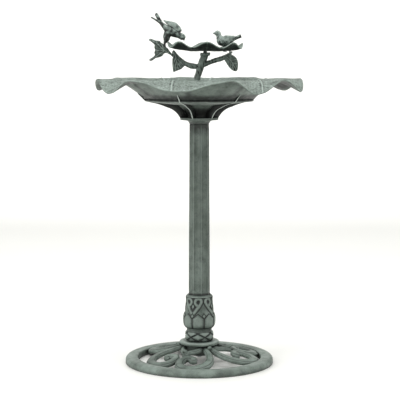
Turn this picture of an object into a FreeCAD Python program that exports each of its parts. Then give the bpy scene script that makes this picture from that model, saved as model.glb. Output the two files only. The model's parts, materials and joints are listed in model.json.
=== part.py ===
import FreeCAD, Part
import math
import os
import Sketcher

# Bird bath: a fluted octagonal column on an openwork scroll base carries a finned cradle, and a
# lobed leaf basin sits in the cradle. A branch with leaves, a small leaf dish and two birds is
# bolted to the basin floor. Millimetres, +Z up, origin on the column axis at ground level,
# -Y is the front.

Vector = FreeCAD.Vector
doc = FreeCAD.newDocument("bird_bath")

SIZES = {
    # scroll base
    "ground": 0,
    "ring_outer": 180,
    "ring_inner": 150,
    "ring_side": 11,
    "ring_top": 17,
    "ring_inner_top": 13,
    "ring_shoulder": 9,
    "hub_radius": 48.5,
    "hub_foot_radius": 37,
    "hub_bottom": 22,
    "hub_edge_bottom": 45.5,
    "hub_top": 54,
    "hub_edge_curve": 4.5,
    "hub_spigot_radius": 19.4,
    "hub_spigot_top": 77,
    "scroll_slope_inner": 46,
    "scroll_slope_outer": 6,
    "scroll_thickness": 10,
    "scroll_count": 6,
    "scroll_start": 30,
    "scroll_width": 19,
    "tendril_width": 10,
    # sleeve round the foot of the column
    "sleeve_bore": 27.2,
    "sleeve_foot_radius": 29.6,
    "collar_radius": 34,
    "collar_middle": 66,
    "collar_top": 76.5,
    "collar_top_radius": 32.5,
    "neck_radius": 30.6,
    "neck_height": 84,
    "bulge_radius": 38.8,
    "bulge_height": 108,
    "bud_radius": 33.4,
    "bud_height": 142,
    "sleeve_shoulder": 163.5,
    "sleeve_top": 168,
    "sleeve_top_radius": 32.4,
    "collar_curve": 22,
    "bulge_curve": 48,
    "bud_curve": 70,
    # column
    "column_foot_radius": 26.7,
    "column_head_radius": 24.2,
    "column_top": 582,
    "column_bore_foot": 19.7,
    "column_bore_head": 17.7,
    "flute_radius": 14,
    "flute_count": 8,
    "flute_reach_foot": 36.9,
    "flute_reach_head": 35.2,
    "flute_bottom": 174,
    "flute_top": 576,
    "column_turn": -11.5,
    # cradle
    "cradle_spigot_radius": 17.4,
    "cradle_spigot_length": 26,
    "flare_radius": 30.3,
    "flare_foot_radius": 23.8,
    "flare_top": 590.5,
    "flare_curve": 12,
    "plate_radius": 46,
    "plate_bottom": 592.4,
    "plate_top": 597.4,
    "cup_neck_radius": 27.6,
    "cup_neck_top": 602,
    "cup_curve": 26,
    "cup_turned_radius": 53.6,
    "cup_turned_height": 628,
    "lip_radius": 130.5,
    "lip_foot": 636.8,
    "lip_top": 643,
    "lip_inner": 126.8,
    "lip_inner_foot": 639.4,
    "cup_floor": 612,
    "cup_floor_radius": 20,
    "cup_inner_radius": 54,
    "cup_inner_height": 632,
    "cup_inner_curve": 32,
    "fin_count": 6,
    "fin_turn": -20,
    "fin_thickness": 2.6,
    "fin_foot_radius": 47,
    "fin_curve": 50,
    "fin_middle_radius": 78,
    "fin_middle_height": 625.5,
    "fin_lip_radius": 108,
    "fin_lip_height": 633.2,
    "fin_root_radius": 24,
    "fin_root_top": 606,
    "blade_radius": 149,
    "blade_top": 655.4,
    "blade_gap": 0.6,
    # rod, nuts and washers that clamp base, column and cradle
    "rod_radius": 4,
    "rod_bottom": 12,
    "rod_top": 625,
    "rod_hole": 4.4,
    "nut_flats": 13,
    "nut_height": 6.5,
    "washer_radius": 12,
    "washer_thickness": 1.6,
    # basin
    "basin_bottom": 640.5,
    "basin_floor": 644.5,
    "basin_spigot_radius": 126,
    "wall_top_radius": 179,
    "wall_top": 678.5,
    "crest_radius": 183,
    "crest_height": 690,
    "rim_radius": 249,
    "basin_wall": 4,
    "rim_wall": 3.4,
    # bolt and washers that hold the branch
    "bolt_radius": 3,
    "bolt_flats": 10,
    "bolt_head": 4,
    "bolt_length": 22,
    "seal_radius": 14,
    "seal_thickness": 2,
    "plain_washer_radius": 9,
    "plain_washer_thickness": 1.6,
    "bolt_hole": 3.3,
    # branch
    "mound_radius": 34,
    "mound_height": 15,
    "trunk_radius": 8,
    "trunk_top": 750,
    "trunk_head_x": 14,
    "trunk_head_radius": 11,
    "trunk_head_height": 6,
    "peg_radius": 4,
    "leaf_thickness": 5,
    "leaf_depth": -3.5,
    "perch_depth": -6,
    "perch_x": -82.5,
    "perch_height": 764,
    "perch_peg_length": 8,
    "perch_peg_radius": 1.6,
    # dish
    "dish_x": 14,
    "dish_bottom": 756.2,
    "dish_floor": 759.2,
    "dish_radius": 91,
    "dish_floor_radius": 34,
    "dish_mean_rim": 771.5,
    "dish_wave": 6.5,
    "dish_wall": 3,
    "dish_lobes": 8,
    "dish_turn": 3,
    # screws that hold the dish and the bird in it
    "screw_radius": 2,
    "screw_head_radius": 4.2,
    "screw_head": 2.4,
    "screw_length": 14,
    # bird in the dish
    "dish_bird_x": 61.5,
    "dish_bird_height": 780.5,
    "dish_bird_girth": 12.6,
    # bird on the leaf
    "leaf_bird_x": -66,
    "leaf_bird_height": 807,
    "leaf_bird_girth": 11.5,
}

sheet = doc.addObject("Spreadsheet::Sheet", "dims")
for row, (name, number) in enumerate(SIZES.items(), start=1):
    sheet.set(f"A{row}", name)
    sheet.set(f"B{row}", str(number))
    sheet.setAlias(f"B{row}", name)
doc.recompute()


def size(name):
    """The number in the sheet's cell of that name."""
    return float(sheet.get(name))


def total(words):
    """The value of a sum of cells, such as 'hub_top + nut_height'."""
    result, sign = 0.0, 1
    for word in words.split():
        if word in ("+", "-"):
            sign = 1 if word == "+" else -1
        else:
            result += sign * size(word)
    return result


def bound(words):
    """The same sum as an expression on the sheet."""
    return " ".join(w if w in ("+", "-") else "dims." + w for w in words.split())


def new_body(label):
    body = doc.addObject("PartDesign::Body", label)
    body.Label = label
    return body


def sketch_on(body, role, name):
    """An empty sketch on one of the body's own origin planes."""
    sketch = body.newObject("Sketcher::SketchObject", name)
    plane = next(f for f in body.Origin.OriginFeatures if f.Role == role)
    sketch.AttachmentSupport = (plane, [""])
    sketch.MapMode = "FlatFace"
    return sketch


def arc_between(start, end, radius):
    """A circular arc and whether it runs forward: a positive radius bends to the left."""
    chord = end - start
    middle = (start + end) * 0.5
    left = Vector(-chord.y, chord.x, 0).normalize()
    reach = math.sqrt(max(radius * radius - chord.Length**2 / 4, 0))
    centre = middle + left * (reach if radius > 0 else -reach)
    first, last = (start, end) if radius > 0 else (end, start)
    begin = math.atan2(first.y - centre.y, first.x - centre.x)
    finish = math.atan2(last.y - centre.y, last.x - centre.x)
    if finish < begin:
        finish += 2 * math.pi
    circle = Part.Circle(centre, Vector(0, 0, 1), abs(radius))
    return Part.ArcOfCircle(circle, begin, finish), radius > 0


def outline(sketch, corners):
    """A closed outline. A corner is (across, up), and a third item makes the edge that leaves it
    an arc of that cell's radius: '+cell' bends to the left and '-cell' to the right."""
    places = [Vector(total(c[0]), total(c[1]), 0) for c in corners]
    ends = []
    for i, corner in enumerate(corners):
        start, end = places[i], places[(i + 1) % len(corners)]
        if len(corner) == 3:
            radius = size(corner[2][1:]) * (1 if corner[2][0] == "+" else -1)
            edge, forward = arc_between(start, end, radius)
        else:
            edge, forward = Part.LineSegment(start, end), True
        number = sketch.addGeometry(edge, False)
        ends.append((number, 1, 2) if forward else (number, 2, 1))
    for i, (number, _, finish) in enumerate(ends):
        following, start, _ = ends[(i + 1) % len(ends)]
        joined = Sketcher.Constraint("Coincident", number, finish, following, start)
        sketch.addConstraint(joined)
    for (number, start, _), corner, place in zip(ends, corners, places):
        for kind, words, value in (
            ("DistanceX", corner[0], place.x),
            ("DistanceY", corner[1], place.y),
        ):
            held = Sketcher.Constraint(kind, -1, 1, number, start, value)
            index = sketch.addConstraint(held)
            sketch.setExpression(f"Constraints[{index}]", bound(words))
        if len(corner) == 3:
            curve = Sketcher.Constraint("Radius", number, size(corner[2][1:]))
            index = sketch.addConstraint(curve)
            sketch.setExpression(f"Constraints[{index}]", bound(corner[2][1:]))


def turned(label, corners):
    """A body of revolution about the Z axis; corners are (radius, height)."""
    body = new_body(label)
    sketch = sketch_on(body, "XZ_Plane", label + "_profile")
    outline(sketch, corners)
    revolve = body.newObject("PartDesign::Revolution", label + "_turned")
    revolve.Profile = sketch
    revolve.ReferenceAxis = (sketch, ["V_Axis"])
    revolve.Angle = 360
    sketch.Visibility = False
    body.Tip = revolve
    return body


def z_axis(body):
    return next(f for f in body.Origin.OriginFeatures if f.Role == "Z_Axis")


def pattern_round(body, feature, name, count):
    ring = body.newObject("PartDesign::PolarPattern", name)
    ring.Originals = [feature]
    ring.Axis = (z_axis(body), [""])
    ring.Angle = 360
    ring.setExpression("Occurrences", bound(count))
    body.Tip = ring
    return ring


def cylinder(name, radius, height):
    solid = doc.addObject("Part::Cylinder", name)
    solid.setExpression("Radius", bound(radius))
    solid.setExpression("Height", bound(height))
    return solid


def at_height(feature, words):
    """Puts a feature's Z on a sum of cells."""
    feature.setExpression("Placement.Base.z", bound(words))
    return feature


def cut(label, base, tool):
    result = doc.addObject("Part::Cut", label)
    result.Base = base
    result.Tool = tool
    result.Label = label
    return result


def fuse(label, pieces):
    result = doc.addObject("Part::MultiFuse", label)
    result.Shapes = pieces
    result.Label = label
    return result


def compound(label, pieces):
    result = doc.addObject("Part::Compound", label)
    result.Links = pieces
    result.Label = label
    return result


def shaped(label, shape):
    feature = doc.addObject("Part::Feature", label)
    feature.Label = label
    feature.Shape = shape
    feature.Placement = FreeCAD.Placement()
    return feature


def polar(radius, degrees, height=0.0):
    """A point by its angle from the front (-Y), counted towards +X."""
    angle = math.radians(degrees)
    return Vector(radius * math.sin(angle), -radius * math.cos(angle), height)


def curve_through(points, closed=False):
    curve = Part.BSplineCurve()
    curve.interpolate(points, PeriodicFlag=closed)
    return curve


# ---- scroll base ----------------------------------------------------------------------------

# The centre line of one scroll, from the hub out to the ring and back into its curl:
# (radius, degrees from the line where two neighbouring stems meet).
SCROLL_LINE = [
    (35.5, 8),
    (62, 11),
    (86, 15),
    (112, 19),
    (134, 26),
    (146, 36),
    (144, 45),
    (129, 51.5),
    (106, 54.5),
    (91, 51),
    (88, 43),
    (97, 38),
    (108, 40.5),
]
# The tendril that leaves the hub beside the stem and meets its mirror image between two curls.
TENDRIL_LINE = [(35.5, 18), (50, 38), (61, 53), (78, 60)]
BAND_STEPS = 20


def band(line, start, hand, width, end_share):
    """A flat ribbon along a line of (radius, degrees) points, narrowing to end_share."""
    points = [polar(radius, start + hand * swing) for radius, swing in line]
    curve = curve_through(points)
    first, last = curve.FirstParameter, curve.LastParameter
    left, right = [], []
    for step in range(BAND_STEPS + 1):
        share = step / BAND_STEPS
        where = first + (last - first) * share
        along = Vector(curve.tangent(where)[0])
        side = Vector(-along.y, along.x, 0) * (width / 2 * (1 - (1 - end_share) * share))
        left.append(curve.value(where) + side)
        right.append(curve.value(where) - side)
    wire = Part.Wire(
        [
            curve_through(left).toShape(),
            Part.makeLine(left[-1], right[-1]),
            curve_through(right[::-1]).toShape(),
            Part.makeLine(right[0], left[0]),
        ]
    )
    return Part.Face(wire)


def openwork():
    """Six scrolls and their tendrils, cut to a sheet that slopes from the hub to the ring."""
    inner, outer = size("hub_foot_radius") - 2, size("ring_inner") + 4
    low, high = size("scroll_slope_outer"), size("scroll_slope_inner")
    thick = size("scroll_thickness")
    corners = [
        Vector(inner, 0, high - thick),
        Vector(outer, 0, low),
        Vector(outer, 0, low + thick),
        Vector(inner, 0, high),
        Vector(inner, 0, high - thick),
    ]
    slope = Part.Face(Part.makePolygon(corners)).revolve(Vector(), Vector(0, 0, 1), 360)
    bands = []
    for number in range(int(size("scroll_count"))):
        hand = 1 if number % 2 else -1
        start = size("scroll_start") + 120 * (number // 2)
        bands.append(band(SCROLL_LINE, start, hand, size("scroll_width"), 0.75))
        bands.append(band(TENDRIL_LINE, start, hand, size("tendril_width"), 0.8))
    plan = bands[0].multiFuse(bands[1:]).removeSplitter()
    return plan.extrude(Vector(0, 0, high + thick)).common(slope)


ring = turned(
    "base_ring",
    [
        ("ring_inner", "ground"),
        ("ring_outer", "ground"),
        ("ring_outer", "ring_side", "+ring_shoulder"),
        ("ring_outer - ring_shoulder", "ring_top"),
        ("ring_inner", "ring_inner_top"),
    ],
)
hub = turned(
    "base_hub",
    [
        ("rod_hole", "hub_bottom"),
        ("hub_foot_radius", "hub_bottom"),
        ("hub_foot_radius", "hub_edge_bottom"),
        ("hub_radius - hub_edge_curve", "hub_edge_bottom", "+hub_edge_curve"),
        ("hub_radius - hub_edge_curve", "hub_top"),
        ("hub_spigot_radius", "hub_top"),
        ("hub_spigot_radius", "hub_spigot_top"),
        ("rod_hole", "hub_spigot_top"),
    ],
)
doc.recompute()
scrolls = shaped("base_scrolls", openwork())
scroll_base = fuse("scroll_base", [ring, hub, scrolls])

# ---- sleeve and column ----------------------------------------------------------------------

lotus_sleeve = turned(
    "lotus_sleeve",
    [
        ("sleeve_bore", "hub_top"),
        ("sleeve_foot_radius", "hub_top"),
        ("collar_radius", "collar_middle", "+collar_curve"),
        ("collar_top_radius", "collar_top"),
        ("neck_radius", "neck_height"),
        ("bulge_radius", "bulge_height", "+bulge_curve"),
        ("bud_radius", "bud_height", "-bud_curve"),
        ("sleeve_top_radius", "sleeve_shoulder"),
        ("sleeve_bore", "sleeve_top"),
    ],
)

column = new_body("column_shaft")


def octagon(body, name, radius, height):
    sketch = sketch_on(body, "XY_Plane", name)
    sketch.setExpression("AttachmentOffset.Base.z", bound(height))
    rim = sketch.addGeometry(Part.Circle(Vector(), Vector(0, 0, 1), size(radius)), True)
    sketch.addConstraint(Sketcher.Constraint("Coincident", rim, 3, -1, 1))
    held = sketch.addConstraint(Sketcher.Constraint("Radius", rim, size(radius)))
    sketch.setExpression(f"Constraints[{held}]", bound(radius))
    corners = [polar(size(radius), 45 * i + 22.5) for i in range(8)]
    sides = [
        sketch.addGeometry(Part.LineSegment(corners[i], corners[(i + 1) % 8]), False)
        for i in range(8)
    ]
    for i, side in enumerate(sides):
        after = sides[(i + 1) % 8]
        sketch.addConstraint(Sketcher.Constraint("Coincident", side, 2, after, 1))
        sketch.addConstraint(Sketcher.Constraint("PointOnObject", side, 1, rim))
        if i:
            sketch.addConstraint(Sketcher.Constraint("Equal", sides[0], side))
    sketch.addConstraint(Sketcher.Constraint("Horizontal", sides[7]))
    return sketch


def circle_sketch(body, name, radius, height, distance=None):
    """A circle at a height, on the axis or at a distance behind it."""
    sketch = sketch_on(body, "XY_Plane", name)
    sketch.setExpression("AttachmentOffset.Base.z", bound(height))
    away = total(distance) if distance else 0
    middle = Vector(0, away, 0)
    ring = sketch.addGeometry(Part.Circle(middle, Vector(0, 0, 1), total(radius)), False)
    held = sketch.addConstraint(Sketcher.Constraint("Radius", ring, total(radius)))
    sketch.setExpression(f"Constraints[{held}]", bound(radius))
    if distance is None:
        sketch.addConstraint(Sketcher.Constraint("Coincident", ring, 3, -1, 1))
        return sketch
    sketch.addConstraint(Sketcher.Constraint("PointOnObject", ring, 3, -2))
    held = sketch.addConstraint(Sketcher.Constraint("DistanceY", -1, 1, ring, 3, away))
    sketch.setExpression(f"Constraints[{held}]", bound(distance))
    return sketch


def loft(body, kind, name, sections):
    feature = body.newObject(kind, name)
    feature.Profile = sections[0]
    feature.Sections = sections[1:]
    feature.Ruled = True
    body.Tip = feature
    return feature


loft(
    column,
    "PartDesign::AdditiveLoft",
    "column_outside",
    [
        octagon(column, "column_foot", "column_foot_radius", "hub_top"),
        octagon(column, "column_head", "column_head_radius", "column_top"),
    ],
)
loft(
    column,
    "PartDesign::SubtractiveLoft",
    "column_bore",
    [
        circle_sketch(column, "bore_foot", "column_bore_foot", "hub_top"),
        circle_sketch(column, "bore_head", "column_bore_head", "column_top"),
    ],
)
flute = loft(
    column,
    "PartDesign::SubtractiveLoft",
    "column_flute",
    [
        circle_sketch(column, "flute_foot", "flute_radius", "flute_bottom", "flute_reach_foot"),
        circle_sketch(column, "flute_head", "flute_radius", "flute_top", "flute_reach_head"),
    ],
)
doc.recompute()
pattern_round(column, flute, "column_flutes", "flute_count")
column.setExpression("Placement.Rotation.Angle", "dims.column_turn")

# ---- cradle ---------------------------------------------------------------------------------

cradle = turned(
    "bowl_cradle",
    [
        ("rod_hole", "column_top - cradle_spigot_length"),
        ("cradle_spigot_radius", "column_top - cradle_spigot_length"),
        ("cradle_spigot_radius", "column_top"),
        ("flare_foot_radius", "column_top", "-flare_curve"),
        ("flare_radius", "flare_top"),
        ("plate_radius", "plate_bottom"),
        ("plate_radius", "plate_top"),
        ("cup_neck_radius", "plate_top"),
        ("cup_neck_radius", "cup_neck_top", "-cup_curve"),
        ("cup_turned_radius", "cup_turned_height"),
        ("lip_radius", "lip_foot"),
        ("lip_radius", "lip_top"),
        ("lip_inner", "lip_top"),
        ("lip_inner", "lip_inner_foot"),
        ("cup_inner_radius", "cup_inner_height", "+cup_inner_curve"),
        ("cup_floor_radius", "cup_floor"),
        ("rod_hole", "cup_floor"),
    ],
)
fin_sketch = sketch_on(cradle, "XZ_Plane", "fin_profile")
outline(
    fin_sketch,
    [
        ("fin_root_radius", "plate_top - blade_gap"),
        ("fin_foot_radius", "plate_top - blade_gap", "-fin_curve"),
        ("fin_middle_radius", "fin_middle_height"),
        ("fin_lip_radius", "fin_lip_height"),
        ("lip_radius", "lip_foot"),
        ("blade_radius", "blade_top"),
        ("lip_radius", "lip_top - blade_gap"),
        ("lip_inner + blade_gap", "lip_top - blade_gap"),
        ("lip_inner + blade_gap", "lip_inner_foot - blade_gap"),
        ("cup_turned_radius", "cup_turned_height + blade_gap"),
        ("fin_root_radius", "fin_root_top"),
    ],
)
fin = cradle.newObject("PartDesign::Pad", "fin")
fin.Profile = fin_sketch
fin.SideType = "Symmetric"
fin.setExpression("Length", "dims.fin_thickness")
cradle.Tip = fin
doc.recompute()
pattern_round(cradle, fin, "fins", "fin_count")
cradle.setExpression("Placement.Rotation.Angle", "dims.fin_turn - 90")

# ---- the rod and what clamps it -------------------------------------------------------------

tie_rod = cylinder("tie_rod", "rod_radius", "rod_top - rod_bottom")
at_height(tie_rod, "rod_bottom")


def drilled(name, solid, hole, thickness, height):
    """A solid with a hole through it on the Z axis."""
    return cut(name, solid, at_height(cylinder(name + "_hole", hole, thickness), height))


def washer(name, outer, hole, thickness, height):
    disc = at_height(cylinder(name + "_disc", outer, thickness), height)
    return drilled(name, disc, hole, thickness, height)


def hexagon(name, flats, thickness, height):
    """A hexagon head, sized across its flats."""
    prism = doc.addObject("Part::Prism", name)
    prism.Polygon = 6
    prism.setExpression("Circumradius", f"dims.{flats} / 2 / cos(30)")
    prism.setExpression("Height", bound(thickness))
    return at_height(prism, height)


def rod_nut(name, height):
    body = hexagon(name + "_hexagon", "nut_flats", "nut_height", height)
    return drilled(name, body, "rod_radius", "nut_height", height)


def rod_washer(name, height):
    return washer(name, "washer_radius", "rod_radius", "washer_thickness", height)


compound(
    "tie_rod_washers",
    [
        rod_washer("lower_washer", "hub_bottom - washer_thickness"),
        rod_washer("upper_washer", "cup_floor"),
    ],
)
compound(
    "tie_rod_nuts",
    [
        rod_nut("lower_nut", "hub_bottom - washer_thickness - nut_height"),
        rod_nut("upper_nut", "cup_floor + washer_thickness"),
    ],
)

# ---- leaf basin -----------------------------------------------------------------------------

# Where each lobe of the rim hangs lowest, in degrees from the front, and how far it hangs.
RIM_LOWS = [(-147, 25), (-102, 26), (-57, 29), (-11, 22), (32, 29), (74, 26), (123, 28), (168, 21)]
# Where the rim stands level between two lobes, after each low in turn.
RIM_HIGHS = [-124, -77, -38, 17, 51, 98, 147, 191]
RING_POINTS = 72


def rim_droop(degrees):
    """How far the rim hangs below the crest at an angle: half a cosine from low to high."""
    for i, (low, depth) in enumerate(RIM_LOWS):
        before = RIM_HIGHS[i - 1] - (360 if i == 0 else 0)
        after = RIM_HIGHS[i]
        for place in (degrees - 360, degrees, degrees + 360):
            if before <= place <= after:
                reach = after - low if place >= low else low - before
                return depth * (1 + math.cos(math.pi * (place - low) / reach)) / 2
    return 0.0


def basin_ring(radius, height, share=0.0):
    """A closed curve round the basin; share is how much of the rim's droop it takes."""
    points = []
    for step in range(RING_POINTS):
        degrees = 360 * step / RING_POINTS - 180
        points.append(polar(radius, degrees, height - share * rim_droop(degrees)))
    return Part.Wire(curve_through(points, closed=True).toShape())


def shell_of(parts):
    """A solid from lofted skins: each part is a list of rings, and neighbours share a ring."""
    faces = []
    for rings in parts:
        if len(rings) == 2:
            skin = Part.makeRuledSurface(*rings)
        else:
            skin = Part.makeLoft(rings, False, False)
        faces.extend(skin.Faces)
    shell = Part.makeCompound(faces)
    shell.sewShape()
    solid = Part.Solid(shell.Shells[0])
    if solid.Volume < 0:
        solid.reverse()
    return solid


def leaf_basin_shape():
    hole, floor, bottom = size("bolt_hole"), size("basin_floor"), size("basin_bottom")
    spigot, lip, lip_top = size("basin_spigot_radius"), size("lip_radius"), size("lip_top")
    wall, rim, crest = size("basin_wall"), size("rim_radius"), size("crest_radius")
    wall_radius, wall_top = size("wall_top_radius"), size("wall_top")
    top, thin = size("crest_height"), size("rim_wall")
    half, near = (crest + rim) / 2, (crest + 2 * rim) / 3
    hole_below = basin_ring(hole, bottom)
    hole_above = basin_ring(hole, floor)
    spigot_below = basin_ring(spigot, bottom)
    spigot_above = basin_ring(spigot, lip_top)
    seat = basin_ring(lip, lip_top)
    wall_end = basin_ring(wall_radius, wall_top)
    rim_below = basin_ring(rim, top - thin, 1)
    rim_above = basin_ring(rim, top, 1)
    floor_edge = basin_ring(spigot - 10, floor)
    crest_line = basin_ring(crest, top, 0.02)
    flange_below = [
        basin_ring(crest + 6, top - thin - 1, 0.06),
        basin_ring(half, top - thin, 0.38),
        basin_ring(near, top - thin, 0.62),
    ]
    flange_above = [basin_ring(near, top + 0.5, 0.62), basin_ring(half, top + 0.8, 0.38)]
    inside = [basin_ring(wall_radius - wall, wall_top + 1), basin_ring(lip + 6, lip_top + 11)]
    return shell_of(
        [
            [hole_below, spigot_below],
            [spigot_below, spigot_above],
            [spigot_above, seat],
            [seat, wall_end],
            [wall_end, *flange_below, rim_below],
            [rim_below, rim_above],
            [rim_above, *flange_above, crest_line],
            [crest_line, *inside, floor_edge],
            [floor_edge, hole_above],
            [hole_above, hole_below],
        ]
    )


shaped("leaf_basin", leaf_basin_shape())

# ---- branch with its leaves -----------------------------------------------------------------

# Each limb is a list of (x, height, radius) along its middle, in the plane y = 0.
TRUNK = [(-20, 650, 9.5), (-13, 672, 8.2), (-4, 698, 7.8), (6, 722, 8.4), (13.6, 748, 9.4)]
RIGHT_LIMB = [(8, 722, 7), (22, 729, 6.2), (38, 734, 5.2), (56, 739.5, 5.6), (70, 749.5, 2.6)]
LEFT_LIMB = [
    (4, 720, 7),
    (-10, 719, 6),
    (-24, 721.5, 6.2),
    (-37, 728, 5.6),
    (-47, 737, 5),
    (-57, 747, 4),
]
BUD = [(-57, 745, 4.5), (-60, 751, 5), (-61, 755, 3.4), (-60.5, 758, 1)]


def limb(points, depth=0.0):
    """A smooth round bar through (x, height, radius) points in a plane y = depth."""
    middles = [Vector(x, depth, z) for x, z, _ in points]
    curve = curve_through(middles)
    rings = []
    for middle, (_, _, radius) in zip(middles, points):
        along = Vector(curve.tangent(curve.parameter(middle))[0])
        rings.append(Part.Wire(Part.Circle(middle, along, radius).toShape()))
    return Part.makeLoft(rings, True, False)


def branch_shape():
    floor, trunk = size("basin_floor"), size("trunk_radius")
    mound_height, head_height = size("mound_height"), size("trunk_head_height")
    mound = Part.makeCone(size("mound_radius"), trunk + 4, mound_height, Vector(0, 0, floor))
    root = Part.makeCone(trunk + 7, trunk + 1, mound_height + 4, Vector(-20, 0, floor))
    head_place = Vector(size("trunk_head_x"), 0, size("trunk_top") - head_height)
    head = Part.makeCylinder(size("trunk_head_radius"), head_height, head_place)
    peg = Part.makeCylinder(
        size("peg_radius"),
        total("dish_bottom - trunk_top"),
        Vector(size("dish_x"), 0, size("trunk_top")),
    )
    pieces = [root, limb(TRUNK), limb(RIGHT_LIMB), limb(LEFT_LIMB), limb(BUD), head, peg]
    whole = mound.multiFuse(pieces)
    reach = size("bolt_length") - total("basin_wall + seal_thickness + plain_washer_thickness")
    thread = Part.makeCylinder(size("bolt_radius"), reach, Vector(0, 0, floor))
    screw_tip = Vector(size("dish_x"), 0, total("dish_floor - screw_length"))
    screw = Part.makeCylinder(size("screw_radius"), size("screw_length"), screw_tip)
    return whole.cut(thread).cut(screw)


shaped("branch_stem", branch_shape())


def leaf(points, thickness, depth, sharp):
    """A flat leaf about the plane y = depth, its edge smooth between the sharp corners."""
    corners = [Vector(x, depth - thickness / 2, z) for x, z in points]
    edges = []
    for i, first in enumerate(sharp):
        last = sharp[(i + 1) % len(sharp)]
        if last <= first:
            last += len(corners)
        run = [corners[k % len(corners)] for k in range(first, last + 1)]
        edges.append(curve_through(run).toShape() if len(run) > 2 else Part.makeLine(*run))
    return Part.Face(Part.Wire(edges)).extrude(Vector(0, thickness, 0))


# Leaf outlines as (x, height), clockwise from the tip or the stalk.
LOBED_LEAF = [
    (-119.5, 783),
    (-113, 785.5),
    (-105, 782),
    (-95, 780.5),
    (-88, 773),
    (-76, 764),
    (-66, 750),
    (-61, 744),
    (-64, 740),
    (-74.5, 749),
    (-84, 750),
    (-93, 742.5),
    (-104, 738.5),
    (-114.5, 733.5),
    (-119, 735),
    (-112, 741),
    (-106.5, 746),
    (-106, 758),
    (-107, 771),
]
LEFT_LEAF = [
    (-60, 748),
    (-64.5, 735),
    (-64, 722),
    (-62, 708.5),
    (-54, 709),
    (-42.5, 714),
    (-35, 721),
    (-33, 727),
    (-44, 738),
]
RIGHT_LEAF = [
    (62, 734),
    (70, 719),
    (79, 710.5),
    (87, 709),
    (91.5, 717),
    (92.5, 727),
    (89.5, 737),
    (83.5, 744),
    (76, 748),
    (66, 742),
]


def branch_cut(shape):
    """A leaf with the branch's own volume taken out, so that it clips onto the branch."""
    return shape.cut(doc.getObject("branch_stem").Shape)


thick = size("leaf_thickness")
perch = size("perch_depth")
shaped("left_leaf", branch_cut(leaf(LEFT_LEAF, thick, size("leaf_depth"), [0, 3])))
shaped("right_leaf", branch_cut(leaf(RIGHT_LEAF, thick, size("leaf_depth"), [0, 3])))


def perch_peg():
    """The peg under the bird's feet, which stands in the top edge of the lobed leaf."""
    place = Vector(size("perch_x"), perch, size("perch_height"))
    return Part.makeCylinder(size("perch_peg_radius"), size("perch_peg_length"), place)


lobed = leaf(LOBED_LEAF, thick, perch, [0, 7, 8, 13, 16]).cut(doc.getObject("left_leaf").Shape)
shaped("lobed_leaf", branch_cut(lobed).cut(perch_peg()))

# ---- leaf dish ------------------------------------------------------------------------------


def dish_ring(radius, height, share=0.0):
    """A closed curve round the dish; share is how much of the rim's wave it takes."""
    points = []
    for step in range(RING_POINTS):
        degrees = 360 * step / RING_POINTS
        wave = math.cos(math.radians(size("dish_lobes") * (degrees - size("dish_turn"))))
        points.append(polar(radius, degrees, height + share * wave * size("dish_wave")))
    return Part.Wire(curve_through(points, closed=True).toShape())


def leaf_dish_shape():
    bottom, floor, wall = size("dish_bottom"), size("dish_floor"), size("dish_wall")
    rim, rise, flat = size("dish_radius"), size("dish_mean_rim"), size("dish_floor_radius")
    turn, knee = flat + 26, rim - 15
    hole = size("screw_radius")
    hole_below, hole_above = dish_ring(hole, bottom), dish_ring(hole, floor)
    flat_below, flat_above = dish_ring(flat, bottom), dish_ring(flat, floor)
    rim_below, rim_above = dish_ring(rim, rise - wall, 1), dish_ring(rim, rise, 1)
    below = [dish_ring(turn, bottom + 2, 0.12), dish_ring(knee, rise - wall - 6.5, 0.45)]
    above = [dish_ring(knee, rise - 6.5, 0.45), dish_ring(turn, floor + 2, 0.12)]
    dish = shell_of(
        [
            [hole_below, flat_below],
            [flat_below, *below, rim_below],
            [rim_below, rim_above],
            [rim_above, *above, flat_above],
            [flat_above, hole_above],
            [hole_above, hole_below],
        ]
    )
    dish.translate(Vector(size("dish_x"), 0, 0))
    return dish


def bird_screw_place():
    """Where the underside of the head of the screw that holds the bird meets the dish."""
    return Vector(size("dish_bird_x"), 0, size("dish_bottom"))


bird_hole = Part.makeCylinder(size("screw_radius"), size("screw_length"), bird_screw_place())
shaped("leaf_dish", leaf_dish_shape().cut(bird_hole))

# ---- birds ----------------------------------------------------------------------------------


def spike(start, end, first, last):
    """A cone from one (x, height) place to another with its radius at each end."""
    base = Vector(start[0], start[2], start[1])
    run = Vector(end[0], end[2], end[1]) - base
    return Part.makeCone(first, last, run.Length, base, run)


def dish_bird_shape():
    x, height, girth = size("dish_bird_x"), size("dish_bird_height"), size("dish_bird_girth")
    body = limb(
        [
            (x + 23, height + 5.5, 4.8),
            (x + 12, height + 2.5, 0.68 * girth),
            (x + 1, height, 0.96 * girth),
            (x - 8, height + 0.5, girth),
            (x - 14, height + 6, 0.74 * girth),
            (x - 16.6, height + 13, 6),
            (x - 17.4, height + 19, 7),
            (x - 17.8, height + 24, 4.8),
            (x - 17.9, height + 25.6, 1.2),
        ]
    )
    beak = spike((x - 21, height + 19, 0), (x - 29.5, height + 17.5, 0), 3.6, 0.7)
    tail = spike((x + 18, height + 3.5, 0), (x + 38, height + 13, 0), 5.2, 4.2)
    foot_place = Vector(x, 0, size("dish_floor") + 0.6)
    foot = Part.makeCylinder(4.6, height - foot_place.z, foot_place)
    return body.multiFuse([beak, tail, foot]).cut(bird_hole)


WING = [
    (-43.5, 808),
    (-48, 814),
    (-58, 822),
    (-70, 826.5),
    (-87, 830),
    (-78, 820),
    (-65, 812),
    (-52, 805.5),
]


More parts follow.
